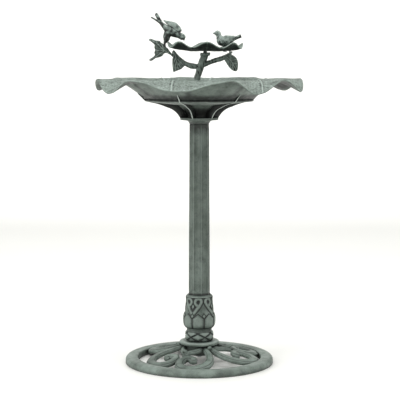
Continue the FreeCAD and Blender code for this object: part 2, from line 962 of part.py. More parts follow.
def leaf_bird_shape():
    x, height, girth = size("leaf_bird_x"), size("leaf_bird_height"), size("leaf_bird_girth")
    body = limb(
        [
            (x - 28, height + 17.5, 3.6),
            (x - 18, height + 11.5, 0.6 * girth),
            (x - 6, height + 4, 0.93 * girth),
            (x + 5, height - 3.5, girth),
            (x + 14, height - 9.5, 0.8 * girth),
            (x + 20, height - 13, 7.2),
            (x + 25, height - 16.5, 8.2),
            (x + 30, height - 20, 5.6),
            (x + 32, height - 21.5, 1.5),
        ],
        perch,
    )
    beak = spike((x + 28, height - 19, perch), (x + 31, height - 25, perch), 3.4, 0.7)
    low_prong = spike((x - 24, height + 15, perch), (x - 49.5, height + 29, perch), 3.6, 0.8)
    high_prong = spike((x - 24, height + 14, perch), (x - 38.5, height + 40, perch), 3.4, 2)
    legs = spike((x - 8, height - 2, perch), (x - 15, height - 22, perch), 8, 4.4)
    foot_place = (size("perch_x"), total("perch_height + perch_peg_length") - 2, perch)
    foot = spike((x - 14.6, height - 20.5, perch), foot_place, 4.4, 3)
    side = girth * 0.6
    wings = [leaf(WING, 4, perch + hand * side, [0, 4]) for hand in (-1, 1)]
    pieces = [beak, low_prong, high_prong, legs, foot, *wings]
    whole = body.multiFuse(pieces).cut(doc.getObject("lobed_leaf").Shape)
    return whole.fuse(perch_peg())


shaped("dish_bird", dish_bird_shape())
shaped("leaf_bird", leaf_bird_shape())

# ---- screws, bolt and washers of the branch -------------------------------------------------


def dish_screw(name, place, up):
    """A countertop screw: its head stands on the place, its shank points the other way."""
    head = Part.makeCylinder(size("screw_head_radius"), size("screw_head"), place, up)
    shank = Part.makeCylinder(size("screw_radius"), size("screw_length"), place, up * -1)
    return shaped(name, head.fuse(shank))


dish_middle = Vector(size("dish_x"), 0, size("dish_floor"))
compound(
    "dish_screws",
    [
        dish_screw("middle_screw", dish_middle, Vector(0, 0, 1)),
        dish_screw("bird_screw", bird_screw_place(), Vector(0, 0, -1)),
    ],
)

SEAL_BOTTOM = "basin_bottom - seal_thickness"
WASHER_BOTTOM = SEAL_BOTTOM + " - plain_washer_thickness"
sealing_washer = washer(
    "sealing_washer", "seal_radius", "bolt_radius", "seal_thickness", SEAL_BOTTOM
)
plain_washer = washer(
    "branch_washer",
    "plain_washer_radius",
    "bolt_radius",
    "plain_washer_thickness",
    WASHER_BOTTOM,
)
bolt_head = hexagon("bolt_head", "bolt_flats", "bolt_head", WASHER_BOTTOM + " - bolt_head")
bolt_shank = at_height(cylinder("bolt_shank", "bolt_radius", "bolt_length"), WASHER_BOTTOM)
fuse("branch_bolt", [bolt_head, bolt_shank])

# ---- check and write ------------------------------------------------------------------------

NODES = [
    "scroll_base",
    "lotus_sleeve",
    "column_shaft",
    "bowl_cradle",
    "tie_rod",
    "tie_rod_washers",
    "tie_rod_nuts",
    "leaf_basin",
    "branch_stem",
    "left_leaf",
    "right_leaf",
    "lobed_leaf",
    "leaf_dish",
    "dish_screws",
    "leaf_bird",
    "dish_bird",
    "branch_bolt",
    "branch_washer",
    "sealing_washer",
]

doc.recompute()
for item in doc.Objects:
    for state in ("Invalid", "Error"):
        if state in item.State:
            raise RuntimeError(f"{item.Name} is {state}")
os.makedirs("parts", exist_ok=True)
for node in NODES:
    shape = doc.getObject(node).Shape
    if shape.isNull() or not shape.isValid():
        raise RuntimeError(f"{node} has no valid shape")
    shape.exportStep(f"parts/{node}.step")
    print(node, f"{shape.Volume / 1000:.2f} cm3", len(shape.Solids), "solids")
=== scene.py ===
"""Looks of the bird bath: moulded plastic with an antique grey-green wash, built round its frame."""

import json
import math

import bmesh
import bpy
import numpy as np
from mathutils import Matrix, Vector, noise


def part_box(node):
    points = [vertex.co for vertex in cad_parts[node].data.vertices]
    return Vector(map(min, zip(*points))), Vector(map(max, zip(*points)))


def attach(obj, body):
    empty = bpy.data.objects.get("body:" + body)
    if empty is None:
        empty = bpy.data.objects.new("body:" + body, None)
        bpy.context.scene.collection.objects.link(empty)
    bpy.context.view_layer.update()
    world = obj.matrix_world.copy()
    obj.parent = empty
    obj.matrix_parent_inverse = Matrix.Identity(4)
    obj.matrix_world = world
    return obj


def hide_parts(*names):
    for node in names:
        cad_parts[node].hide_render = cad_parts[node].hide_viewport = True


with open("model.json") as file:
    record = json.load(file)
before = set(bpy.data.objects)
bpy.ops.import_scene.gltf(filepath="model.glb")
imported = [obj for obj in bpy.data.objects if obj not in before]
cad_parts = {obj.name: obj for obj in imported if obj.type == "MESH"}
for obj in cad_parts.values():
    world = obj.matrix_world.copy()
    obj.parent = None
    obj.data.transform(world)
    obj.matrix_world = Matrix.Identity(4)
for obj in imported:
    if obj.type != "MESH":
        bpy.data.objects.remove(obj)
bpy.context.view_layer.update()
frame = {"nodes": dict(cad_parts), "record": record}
MM = 0.001
PEDESTAL, BASIN = "pedestal", "basin"
PLASTIC, ORNAMENT = "verdigris_plastic", "verdigris_ornament"


# ---- small geometry helpers (all lengths in millimetres) ----------------------------------------


def span(node):
    """A CAD node's lowest and highest corner in millimetres."""
    low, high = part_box(node)
    return np.array(low) / MM, np.array(high) / MM


def ramp(value, start, end):
    """0 before start, 1 after end, smooth between; start may be above end."""
    share = np.clip((value - start) / (end - start), 0, 1)
    return share * share * (3 - 2 * share)


def bell(offset, width):
    """1 where the offset is 0, falling smoothly to nothing a few widths away."""
    return np.exp(-((offset / width) ** 2))


def polar(radius, degrees, height):
    """Points by their angle from the front (-Y), counted towards +X."""
    angle = np.radians(degrees)
    radius, angle, height = np.broadcast_arrays(radius, angle, height)
    return np.stack([radius * np.sin(angle), -radius * np.cos(angle), height], -1)


def smooth_line(points, steps, closed=False):
    """A Catmull-Rom line through points, with that many steps between two points."""
    points = np.array(points, float)
    if closed:
        before, here = np.roll(points, 1, 0), points
        after, later = np.roll(points, -1, 0), np.roll(points, -2, 0)
    else:
        padded = np.vstack([2 * points[0] - points[1], points, 2 * points[-1] - points[-2]])
        before, here, after, later = padded[:-3], padded[1:-2], padded[2:-1], padded[3:]
    t = (np.arange(steps) / steps)[:, None, None]
    line = 0.5 * (
        2 * here
        + (after - before) * t
        + (2 * before - 5 * here + 4 * after - later) * t**2
        + (3 * here - before - 3 * after + later) * t**3
    )
    line = line.transpose(1, 0, 2).reshape(-1, points.shape[1])
    return line if closed else np.vstack([line, points[-1]])


def distance_to_line(places, line):
    """How far 2-D places are from a line of points."""
    nearest = np.full(places.shape[:-1], 1e9)
    for start, end in zip(line[:-1], line[1:]):
        run = end - start
        share = np.clip(((places - start) @ run) / max(run @ run, 1e-12), 0, 1)
        nearest = np.minimum(nearest, np.linalg.norm(places - start - share[..., None] * run, axis=-1))
    return nearest


def rough(points, size, seed=0):
    """Smooth noise from -1 to 1 at each point, with features of about that size."""
    shift = Vector((seed * 7.3, seed * 3.1, seed * 5.7))
    flat = np.reshape(points, (-1, 3))
    values = [noise.noise(Vector(p / size) + shift) for p in flat]
    return np.reshape(values, np.shape(points)[:-1])


# ---- building pieces ----------------------------------------------------------------------------


def sheet_faces(rows, columns, round_rows, first):
    """Four-sided faces of a grid, joined round its columns, and its last row to its first if asked."""
    faces = []
    for i in range(rows if round_rows else rows - 1):
        for j in range(columns):
            a, b = i * columns, ((i + 1) % rows) * columns
            k = (j + 1) % columns
            faces.append((first + a + j, first + a + k, first + b + k, first + b + j))
    return faces


class Shell:
    """Points and faces of one piece, gathered surface by surface."""

    def __init__(self):
        self.points, self.faces, self.wash, self.count = [], [], [], 0

    def grid(self, grid, wash=None, round_rows=False, caps=False):
        """Adds a grid of points (rows, columns, 3); caps close its first and last row."""
        rows, columns = grid.shape[:2]
        faces = sheet_faces(rows, columns, round_rows, self.count)
        wash = np.zeros((rows, columns)) if wash is None else wash
        self.points.append(grid.reshape(-1, 3))
        self.wash.append(wash.reshape(-1))
        if caps:
            for row in (0, rows - 1):
                middle = self.count + rows * columns + (row > 0)
                edge = self.count + row * columns
                self.points.append(grid[row].mean(0)[None])
                self.wash.append(wash[row].mean()[None])
                for j in range(columns):
                    faces.append((edge + j, edge + (j + 1) % columns, middle))
        self.faces.extend(faces)
        self.count += rows * columns + 2 * caps
        return self

    def solids(self, *grids):
        """Adds bars and other grids that are closed by capping both ends."""
        for grid in grids:
            self.grid(grid, caps=True)
        return self

    def piece(self, name, body, slot, material, replaces):
        """Makes the object, turns its faces outward and puts it on its body."""
        mesh = bpy.data.meshes.new(name)
        mesh.from_pydata(np.concatenate(self.points) * MM, [], self.faces)
        set_values(mesh, "wash", np.concatenate(self.wash))
        return settle(name, mesh, body, material, replaces)


def turn_outward(mesh):
    """Turns every face of a closed mesh outward."""
    form = bmesh.new()
    form.from_mesh(mesh)
    bmesh.ops.recalc_face_normals(form, faces=form.faces)
    form.to_mesh(mesh)
    form.free()


def set_values(mesh, name, values):
    """One number for each point, for the materials to read by name."""
    attribute = mesh.attributes.new(name, "FLOAT", "POINT")
    attribute.data.foreach_set("value", values.astype(np.float32))


def in_scene(name, data):
    """A new object in the scene."""
    thing = bpy.data.objects.new(name, data)
    bpy.context.scene.collection.objects.link(thing)
    return thing


def settle(name, mesh, body, material, replaces):
    """The piece made from a finished mesh, on its body and in place of its CAD nodes."""
    turn_outward(mesh)
    mesh.polygons.foreach_set("use_smooth", [True] * len(mesh.polygons))
    mesh.materials.append(material)
    piece = in_scene(name, mesh)
    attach(piece, body)
    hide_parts(*replaces)
    return piece


def frames_along(line, up=(0, 0, 1)):
    """Unit directions across a line and above it, turning as little as they can."""
    along = np.gradient(line, axis=0)
    along /= np.linalg.norm(along, axis=1)[:, None]
    above = np.zeros_like(along)
    last = np.array(up, float)
    for i, way in enumerate(along):
        last = last - (last @ way) * way
        last /= np.linalg.norm(last)
        above[i] = last
    return np.cross(along, above), above


def tube_grid(line, radii, columns=20, up=(0, 1, 0.01), flat=1.0):
    """A round bar along a line, or a flat one where flat is under 1."""
    across, above = frames_along(line, up)
    turn = np.linspace(0, 2 * math.pi, columns, endpoint=False)
    way = across[:, None] * np.cos(turn)[:, None] + above[:, None] * np.sin(turn)[:, None] * flat
    return line[:, None] + way * np.asarray(radii)[:, None, None]


def round_ends(count, share):
    """Sizes from 0 to 1 and back that round both ends of a bar over that share of its length."""
    place = np.linspace(0, 1, count)
    near = np.clip(np.minimum(place, 1 - place) / share, 0, 1)
    return np.sqrt(np.clip(1 - (1 - near) ** 2, 0.0025, 1))


def lathe(profile, columns):
    """A grid turned round the column's axis from a closed profile of (radius, height)."""
    profile = np.array(profile, float)
    turn = np.linspace(0, 360, columns, endpoint=False)
    return polar(profile[:, :1], turn[None], profile[:, 1:])


def divided(section, counts):
    """The section's rows, with the run from each to the next cut into that many equal steps."""
    rows = [section[0]]
    for first, last, count in zip(section[:-1], section[1:], counts):
        for step in range(1, count + 1):
            rows.append(first + (last - first) * step / count)
    return np.array(rows)


def spread(rows, degrees):
    """A grid of the degrees, and one of each column of the rows, for a section turned round an axis."""
    turn, _ = np.meshgrid(degrees, rows[:, 0])
    return turn, *(np.broadcast_to(column[:, None], turn.shape) for column in rows.T)


def crisp(profile, edge):
    """The same closed profile with each corner cut back by the edge, so that turning rounds it."""
    out = []
    for i, corner in enumerate(profile):
        corner = np.array(corner, float)
        for other in (profile[i - 1], profile[(i + 1) % len(profile)]):
            run = np.array(other, float) - corner
            length = np.linalg.norm(run)
            out.append(corner + run / length * min(edge, length * 0.4))
    return np.array(out)


def cast(name, shells, voxel, smooth, skin, node, sculpt):
    """An ornament's overlapping solids cast into one; sculpt(points, normals) gives its points and wash."""
    mesh = bpy.data.meshes.new(name + "_core")
    mesh.from_pydata(np.concatenate(shells.points) * MM, [], shells.faces)
    turn_outward(mesh)
    core = in_scene(name + "_core", mesh)
    remesh = core.modifiers.new("skin", "REMESH")
    remesh.mode = "VOXEL"
    remesh.voxel_size = voxel * MM
    relax = core.modifiers.new("relax", "SMOOTH")
    relax.factor = 0.5
    relax.iterations = smooth
    bpy.context.view_layer.update()
    graph = bpy.context.evaluated_depsgraph_get()
    form = bpy.data.meshes.new_from_object(core.evaluated_get(graph))
    form.name = name
    bpy.data.objects.remove(core)
    bpy.data.meshes.remove(mesh)
    count = len(form.vertices)
    places, ways = np.empty(count * 3), np.empty(count * 3)
    form.vertices.foreach_get("co", places)
    form.vertices.foreach_get("normal", ways)
    places, wash = sculpt(places.reshape(-1, 3) / MM, ways.reshape(-1, 3))
    form.vertices.foreach_set("co", (places * MM).ravel())
    form.materials.clear()
    set_values(form, "wash", wash)
    return settle(name, form, BASIN, skin, [node])


# ---- materials ----------------------------------------------------------------------------------


def paint(code):
    """A linear colour from its RRGGBB name."""
    parts = [int(code[i : i + 2], 16) / 255 for i in (0, 2, 4)]
    return [p / 12.92 if p <= 0.04045 else ((p + 0.055) / 1.055) ** 2.4 for p in parts] + [1]


def feed(tree, socket, value):
    """Links another node's socket to this one, or sets this one to a constant."""
    if isinstance(value, bpy.types.NodeSocket):
        tree.links.new(value, socket)
    else:
        socket.default_value = value


def add(tree, kind, inputs=None, **settings):
    """A node with its settings, and its inputs as constants or as other nodes' sockets."""
    node = tree.nodes.new(kind)
    for key, value in settings.items():
        setattr(node, key, value)
    for key, value in (inputs or {}).items():
        feed(tree, node.inputs[key], value)
    return node


def new_material(name):
    """An empty node material, its tree, and the place on the object where it is read."""
    material = bpy.data.materials.new(name)
    material.use_nodes = True
    tree = material.node_tree
    tree.nodes.clear()
    return material, tree, add(tree, "ShaderNodeTexCoord").outputs["Object"]


def close(tree, inputs):
    """Ends a material in a principled surface with these inputs."""
    surface = add(tree, "ShaderNodeBsdfPrincipled", inputs)
    add(tree, "ShaderNodeOutputMaterial", {"Surface": surface.outputs[0]})


def noise_of(tree, vector, scale, detail=4.0, rough=0.55):
    """Noise with that many features to a metre."""
    inputs = {"Vector": vector, "Scale": scale, "Detail": detail, "Roughness": rough}
    return add(tree, "ShaderNodeTexNoise", inputs).outputs["Fac"]


def between(tree, value, low, high, first=0.0, last=1.0):
    """The value stretched from low..high to first..last, and held there outside."""
    inputs = {"Value": value, "From Min": low, "From Max": high, "To Min": first, "To Max": last}
    return add(tree, "ShaderNodeMapRange", inputs, interpolation_type="SMOOTHSTEP").outputs[0]


def math_of(tree, operation, first, second):
    """The result of one sum on two values."""
    node = add(tree, "ShaderNodeMath", operation=operation)
    for socket, value in zip(node.inputs, (first, second)):
        feed(tree, socket, value)
    return node.outputs[0]


def mix_of(tree, share, first, second):
    """The first colour with that share of the second mixed in."""
    node = add(tree, "ShaderNodeMix", data_type="RGBA")
    sockets = [socket for socket in node.inputs if socket.enabled]
    for socket, value in zip(sockets, (share, first, second)):
        feed(tree, socket, value)
    return next(socket for socket in node.outputs if socket.enabled)


def bump_of(tree, height, strength, distance):
    """Fine roughness of the surface, that many metres deep."""
    inputs = {"Height": height, "Strength": strength, "Distance": distance}
    return add(tree, "ShaderNodeBump", inputs).outputs[0]


# Features to a metre in the painted plastic, from its broad clouds to its grain.
CLOUDS, BLOTCHES, RUNS, SPECKLES, GRAIN, NET_CELLS = 22, 75, 260, 420, 1500, 150.0


def verdigris(
    name, light, middle, dark, rub_and_highlight="96a29b", mottle=0.4, streaks=0.0, net=False, grain=0.5, hollow=0.02
):
    """Moulded plastic with an antique wash, and with painted shade and painted highlights.

    The pieces' wash values say where: over 0 is wash and painted shade, under 0 is rubbed wear and
    painted highlight. Where another surface is nearer than hollow, in metres, painted shade darkens it
    together with the wash that gathers there.
    """
    material, tree, where = new_material(name)
    light, middle, dark, rub_and_highlight = (paint(code) for code in (light, middle, dark, rub_and_highlight))
    cloudy = noise_of(tree, where, CLOUDS, 6, 0.6)
    speckle = noise_of(tree, where, SPECKLES, 3, 0.7)
    blotch = noise_of(tree, where, BLOTCHES, 5, 0.65)
    colour = mix_of(tree, between(tree, cloudy, 0.35, 0.68), middle, light)
    colour = mix_of(tree, between(tree, blotch, 0.5, 0.72, 0.0, mottle), colour, dark)
    colour = mix_of(tree, between(tree, speckle, 0.47, 0.3, 0, mottle), colour, dark)
    colour = mix_of(tree, between(tree, speckle, 0.54, 0.72, 0, 0.35), colour, light)
    if streaks:
        stretched = add(tree, "ShaderNodeMapping", {"Vector": where, "Scale": (1, 1, 0.035)})
        runs = noise_of(tree, stretched.outputs[0], RUNS, 4, 0.6)
        colour = mix_of(tree, between(tree, runs, 0.5, 0.72, 0, streaks), colour, dark)
    height = math_of(tree, "MULTIPLY", speckle, 0.5)
    if net:
        mask = add(tree, "ShaderNodeAttribute", attribute_name="net").outputs["Fac"]
        cells = {"Vector": where, "Scale": NET_CELLS, "Randomness": 0.9}
        edge = add(tree, "ShaderNodeTexVoronoi", cells, feature="DISTANCE_TO_EDGE").outputs[0]
        vein = math_of(tree, "MULTIPLY", between(tree, edge, 0.0, 0.16, 1, 0), mask)
        pit = math_of(tree, "MULTIPLY", between(tree, edge, 0.12, 0.4, 0, 1), mask)
        colour = mix_of(tree, math_of(tree, "MULTIPLY", pit, 0.45), colour, dark)
        colour = mix_of(tree, math_of(tree, "MULTIPLY", vein, 0.5), colour, rub_and_highlight)
        height = math_of(tree, "ADD", height, math_of(tree, "MULTIPLY", vein, 1.3))
    wash = add(tree, "ShaderNodeAttribute", attribute_name="wash").outputs["Fac"]
    # Painted shade: ambient occlusion darkens hollows and parts lying under other parts, together with the
    # wash that gathers there; the pieces' own wash and painted shade come in through wash over 0.
    corner = add(tree, "ShaderNodeAmbientOcclusion", {"Distance": hollow}, samples=6).outputs["AO"]
    hollow_patina_and_shade = math_of(tree, "MULTIPLY", between(tree, corner, 0.85, 0.25), 0.85)
    grime_and_shade = math_of(tree, "MAXIMUM", hollow_patina_and_shade, between(tree, wash, 0.0, 0.9, 0.0, 0.98))
    uneven = math_of(tree, "MULTIPLY", grime_and_shade, between(tree, blotch, 0.2, 0.6, 0.8, 1.0))
    colour = mix_of(tree, uneven, colour, dark)
    # Under 0, wash mixes in the rubbed colour: rubbed wear, and painted highlights on edges and tops.
    colour = mix_of(tree, between(tree, wash, 0.0, -1.0, 0.0, 0.9), colour, rub_and_highlight)
    fine = noise_of(tree, where, GRAIN, 2)
    height = math_of(tree, "ADD", height, math_of(tree, "MULTIPLY", fine, 0.35))
    inputs = {
        "Base Color": colour,
        "Roughness": between(tree, blotch, 0.3, 0.7, 0.42, 0.62),
        "Normal": bump_of(tree, height, grain, 0.0006),
        "Specular IOR Level": 0.45,
    }
    close(tree, inputs)
    return material


def zinc():
    """Zinc plated steel: fine spangle, a dull shine and a little dust."""
    material, tree, where = new_material("zinc_plate")
    spangle = add(tree, "ShaderNodeTexVoronoi", {"Vector": where, "Scale": 700.0}).outputs["Color"]
    tone = noise_of(tree, where, 300, 4)
    shine = add(tree, "ShaderNodeSeparateColor", {0: spangle}).outputs[0]
    inputs = {
        "Base Color": mix_of(tree, between(tree, tone, 0.35, 0.7), paint("8f9496"), paint("b9bdbd")),
        "Roughness": between(tree, shine, 0, 1, 0.28, 0.45),
        "Normal": bump_of(tree, tone, 0.25, 0.0002),
        "Metallic": 1.0,
    }
    close(tree, inputs)
    return material


def rubber():
    """Black rubber with a dusty, slightly uneven skin."""
    material, tree, where = new_material("black_rubber")
    dust = noise_of(tree, where, 260, 5)
    inputs = {
        "Base Color": mix_of(tree, between(tree, dust, 0.4, 0.75), paint("161817"), paint("2b2e2c")),
        "Roughness": between(tree, dust, 0, 1, 0.6, 0.85),
        "Normal": bump_of(tree, dust, 0.3, 0.0003),
    }
    close(tree, inputs)
    return material


PEDESTAL_SKIN = verdigris("pedestal_plastic", "79867e", "545f58", "0c110e", mottle=0.3)
SLEEVE_SKIN = verdigris("sleeve_plastic", "717d76", "4a554e", "080c09", hollow=0.008)
COLUMN_SKIN = verdigris("column_plastic", "616c65", "465149", "121714", streaks=0.3)
# Its brighter rubbed colour gives rubbed wear and the painted highlight along the fins' edges.
CRADLE_SKIN = verdigris("cradle_plastic", "6a736d", "434c46", "0a0d0b", rub_and_highlight="aeb7b1", mottle=0.3)
BASIN_SKIN = verdigris("basin_plastic", "717e76", "525e56", "0e1310", net=True, hollow=0.03)
BARK_SKIN = verdigris("ornament_bark", "75827a", "434e47", "060906", grain=0.8, hollow=0.008)
LEAF_SKIN = verdigris("ornament_leaf", "74827a", "46524a", "060a07", grain=0.6, hollow=0.006)
FEATHER_SKIN = verdigris("ornament_feather", "83908a", "4b5751", "080c08", grain=0.7, hollow=0.006)


# ---- base ---------------------------------------------------------------------------------------

# The centre lines of one scroll and one tendril, as (radius, degrees from the line where two stems meet).
SCROLL_LINE = [
    (35.5, 8), (60, 9.5), (82, 12), (104, 16.5), (124, 24), (138, 34), (140, 43), (130, 50.5),
    (110, 55), (92, 53), (87, 45.5), (93, 38.5), (104, 38.5),
]
TENDRIL_LINE = [(35.5, 18), (50, 38), (61, 53), (78, 60)]
# Their widths, evenly spaced from root to tip.
SCROLL_WIDTHS = [13, 15, 18, 21, 23, 23, 21, 19, 17, 16, 18]
TENDRIL_WIDTHS = [9, 11, 12, 10, 5]
SCROLL_PAIRS, STEM_TURN = 3, 30
SLOPE_IN, SLOPE_OUT = (35.0, 42.5), (154.0, 12.5)
RING_INNER = 150.0
GROOVE = 0.74  # where a scroll's grooves run, as a share of its half width


def slope_height(radius):
    """The height of the openwork's top, falling from the hub to the ring."""
    share = (radius - SLOPE_IN[0]) / (SLOPE_OUT[0] - SLOPE_IN[0])
    return SLOPE_IN[1] + share * (SLOPE_OUT[1] - SLOPE_IN[1])


def ribbon(line, start, hand, widths, thickness, crown, frill=0.0):
    """A moulded scroll: a crowned band with a groove along each edge, lying on the slope."""
    flat = np.array([polar(radius, start + hand * swing, 0) for radius, swing in line])
    path = smooth_line(flat, 14)
    across, _ = frames_along(path)
    count = len(path)
    place = np.linspace(0, 1, count)
    half = np.interp(place, np.linspace(0, 1, len(widths)), widths) / 2 * round_ends(count, 0.035)
    section = np.linspace(-1, 1, 17)
    edge = np.abs(section)
    lift = crown * (1 - section**2) - 0.9 * bell(edge - GROOVE, 0.1) - 2.2 * ramp(edge, 0.84, 1.0)
    inner = hand * section[None] < 0
    curl = ramp(place, 0.55, 0.7)[:, None] * edge[None] ** 3
    scallop = frill * curl * np.abs(np.sin(place * 46))[:, None] * inner
    reach = section[None] * half[:, None] * (1 + scallop)
    top = path[:, None] + across[:, None] * reach[..., None]
    radius = np.linalg.norm(top[..., :2], axis=-1)
    swell = 1 + 0.5 * ramp(place, 0.86, 0.97)[:, None]
    sink = 7 * ramp(radius, RING_INNER - 2, RING_INNER + 5)
    top[..., 2] = slope_height(radius) + lift * swell - sink
    below = top[:, ::-1].copy()
    below[..., 2] = slope_height(radius[:, ::-1]) - thickness + 1.4 * edge**4
    # Wash in the grooves, rubbed wear with a painted highlight along each edge, and painted shade over the
    # whole underside (the 0.35 rows).
    wash = 0.8 * bell(edge - GROOVE, 0.09) - 0.5 * bell(edge - 0.93, 0.06)
    wash = np.broadcast_to(np.concatenate([wash, np.full(len(section), 0.35)]), (count, 2 * len(section)))
    return np.concatenate([top, below], 1), wash


def bud(place, height, radius, lean):
    """A pointed bud that rises from its place and bends over by the lean."""
    shares = np.linspace(0, 1, 14)
    line = np.stack([place + lean * s**1.4 + np.array([0, 0, height * s]) for s in shares])
    girth = radius * np.sin(np.pi * np.clip(0.22 + 0.78 * shares, 0, 1)) ** 0.8 + 0.25
    return tube_grid(line, girth, 18, (0, 1, 0.02))


def make_base():
    """The outer ring, the hub with its bead, and the openwork of scrolls, tendrils and buds between them."""
    _, high = span("scroll_base")
    outer = high[0]
    hub_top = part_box("lotus_sleeve")[0].z / MM
    ring = [
        (outer - 30, 0.6), (outer - 29, 0), (outer - 1, 0), (outer, 1), (outer, 8), (outer - 0.6, 11),
        (outer - 3.2, 14.2), (outer - 8, 16.4), (outer - 15, 17), (outer - 23, 16.4),
        (outer - 27, 16.2), (outer - 29, 15.2), (outer - 30, 13),
    ]
    spigot, spigot_top = 19.4, high[2]
    bead, bead_radius, bead_low = 4.25, 44.2, 45.5
    bead_middle = (hub_top + bead_low) / 2
    hub = [(4.4, 22.5), (36, 22), (37, 23), (37, bead_low - 1), (38.5, bead_low)]
    for degrees in (-78, -45, -15, 15, 45, 78):
        angle = math.radians(degrees)
        hub.append((bead_radius + bead * math.cos(angle), bead_middle + bead * math.sin(angle)))
    hub += [
        (39, hub_top - 0.4), (spigot + 1, hub_top - 0.4), (spigot, hub_top + 1),
        (spigot, spigot_top - 1), (spigot - 1, spigot_top), (4.4, spigot_top),
    ]
    base = Shell()
    outer_ring = lathe(crisp(ring, 0.4), 288)
    # The ring is lighter on top: rubbed wear, and a painted highlight where the light from above falls.
    base.grid(outer_ring, -0.3 * ramp(outer_ring[..., 2], 13, 16), round_rows=True)
    turned = lathe(crisp(hub, 0.5), 144)
    reach = np.linalg.norm(turned[..., :2], axis=-1)
    # Rubbed wear and a painted highlight on the bead's upper half; painted shade under the bead.
    rub_and_highlight = -0.7 * ramp(turned[..., 2], bead_middle, hub_top) * ramp(reach, 36, 40)
    under_bead_shade = 0.7 * ramp(turned[..., 2], bead_low, bead_low - 3)
    base.grid(turned, rub_and_highlight + under_bead_shade, round_rows=True)
    for pair in range(SCROLL_PAIRS):
        for hand in (-1, 1):
            start = STEM_TURN + 360 / SCROLL_PAIRS * pair
            base.grid(*ribbon(SCROLL_LINE, start, hand, SCROLL_WIDTHS, 9.5, 2.4, frill=0.28), caps=True)
            base.grid(*ribbon(TENDRIL_LINE, start, hand, TENDRIL_WIDTHS, 8, 2.2), caps=True)
        foot = polar(44, start, hub_top - 16)
        base.solids(bud(foot, 9, 5.0, polar(14, start, 0)))
        foot = polar(62, start + 60, slope_height(62) - 3)
        base.solids(bud(foot, 9, 5.4, polar(20, start + 60, 0)))
    base.piece("scroll_base_cast", PEDESTAL, PLASTIC, PEDESTAL_SKIN, ["scroll_base"])


# ---- sleeve and column --------------------------------------------------------------------------

# Half of a strap pair as (degrees from the pair's middle, height).
STRAP_TURN = 18
STRAP_LINE = [
    (27, 144.5), (33, 147), (36.5, 153), (31, 158.6), (21.5, 161), (12.5, 159), (9, 153.5),
    (14.5, 146), (24.5, 138), (39, 126.5), (52, 116),
]


SLEEVE_GIRTH = math.radians(1) * 34  # millimetres round the sleeve for each degree


def laid_over(ground, share, relief, wash):
    """A (relief, wash) layer added over the ground, which it hides by that share."""
    return ground[0] * (1 - share) + relief, ground[1] * (1 - share) + wash


def straps(swing, height):
    """Looped straps in mirrored pairs, with a slim bud between the two of a pair."""
    place = np.stack([swing * SLEEVE_GIRTH, height], -1)
    mirror = np.stack([(90 - swing) * SLEEVE_GIRTH, height], -1)
    line = smooth_line([(s * SLEEVE_GIRTH, z) for s, z in STRAP_LINE], 6)
    away = np.minimum(distance_to_line(place, line), distance_to_line(mirror, line))
    relief = 1.7 * np.sqrt(np.clip(1 - (away / 4.1) ** 2, 0, 1)) - 0.5 * ramp(away, 4, 5)
    wash = 1.3 * bell(away - 4.7, 1.15) - 0.35 * bell(away, 2.2)
    wash = wash + (0.3 + 0.5 * ramp(swing, 12, 24)) * ramp(away, 4.8, 6.5) * ramp(height, 124, 136)
    bud_half = 11 * np.clip((146 - height) / 22, 0, 1) ** 0.8 * SLEEVE_GIRTH
    inside = np.clip(1 - (swing * SLEEVE_GIRTH / np.maximum(bud_half, 0.1)) ** 2, 0, 1)
    return relief + 0.9 * np.sqrt(inside) * ramp(height, 110, 114) * (away > 4.3), wash


def with_studs(ground, swing, height):
    """Small diamonds: one over each joint between two petals, and a higher one between the strap pairs."""
    low_stud = 1 - np.minimum(swing, 45 - swing) * SLEEVE_GIRTH / 4.4 - np.abs(height - 119) / 6.6
    share = ramp(low_stud, -0.12, 0.05)
    wash = 1.2 * bell(low_stud, 0.24) - 0.45 * ramp(low_stud, 0.25, 0.6)
    ground = laid_over(ground, share, 2.1 * share * np.sqrt(np.clip(low_stud, 0, 1)), wash)
    high_stud = 1 - (45 - swing) * SLEEVE_GIRTH / 4.2 - np.abs(height - 141.5) / 7
    share = ramp(high_stud, -0.1, 0.05)
    return laid_over(ground, share, 1.3 * share, 1.1 * bell(high_stud, 0.26) - 0.4 * share)


def with_petals(ground, swing, height):
    """Petals side by side, pointed above and level below."""
    off = np.abs(swing - 22.5) / 22.5
    crown = 112 + 12.5 * (1 - off**1.25)
    edge = np.minimum.reduce([(1 - off) * 15.2, (crown - height) * 0.8, height - 86.6])
    petal = ramp(edge, -0.4, 0.3)
    relief = ground[0] * (1 - petal) + 2.1 * np.sqrt(np.clip(edge / 7, 0, 1)) * petal
    # Wash along each petal's outline, lighter rubbed middles, and painted shade low down, where the sleeve
    # turns under.
    wash = 1.5 * bell(edge, 1.6) - 0.35 * ramp(edge, 2.5, 6) + 0.55 * ramp(height, 99, 86)
    return relief, np.where(edge > -0.4, wash, ground[1])


def with_collar(ground, degrees, height):
    """Crossed grooves round the collar at the sleeve's foot, and the plain neck over it."""
    turn = (degrees + 6.2) / 60
    tall = (height - 65.5) / 19
    lattice = np.minimum(np.abs((turn + tall) % 1 - 0.5), np.abs((turn - tall) % 1 - 0.5)) * 17.0
    groove = bell(lattice, 1.5)
    thin = 0.7 * bell(np.abs(lattice - 3.6), 0.8) * ramp(height, 66, 62)
    relief = 1.2 * ramp(lattice, 0, 3) - 1.0 * groove - thin
    # Wash in the grooves, and painted shade at the collar's foot, where it turns under.
    wash = 1.3 * groove + thin - 0.5 * ramp(lattice, 1.5, 4) + 1.1 * ramp(height, 62, 55)
    collar = ramp(height, 78, 76.4)
    neck = ramp(height, 84.6, 83.6) * (1 - collar)
    # The plain neck under the petals carries painted shade.
    return laid_over(ground, np.maximum(collar, neck), relief * collar, wash * collar + 0.45 * neck)


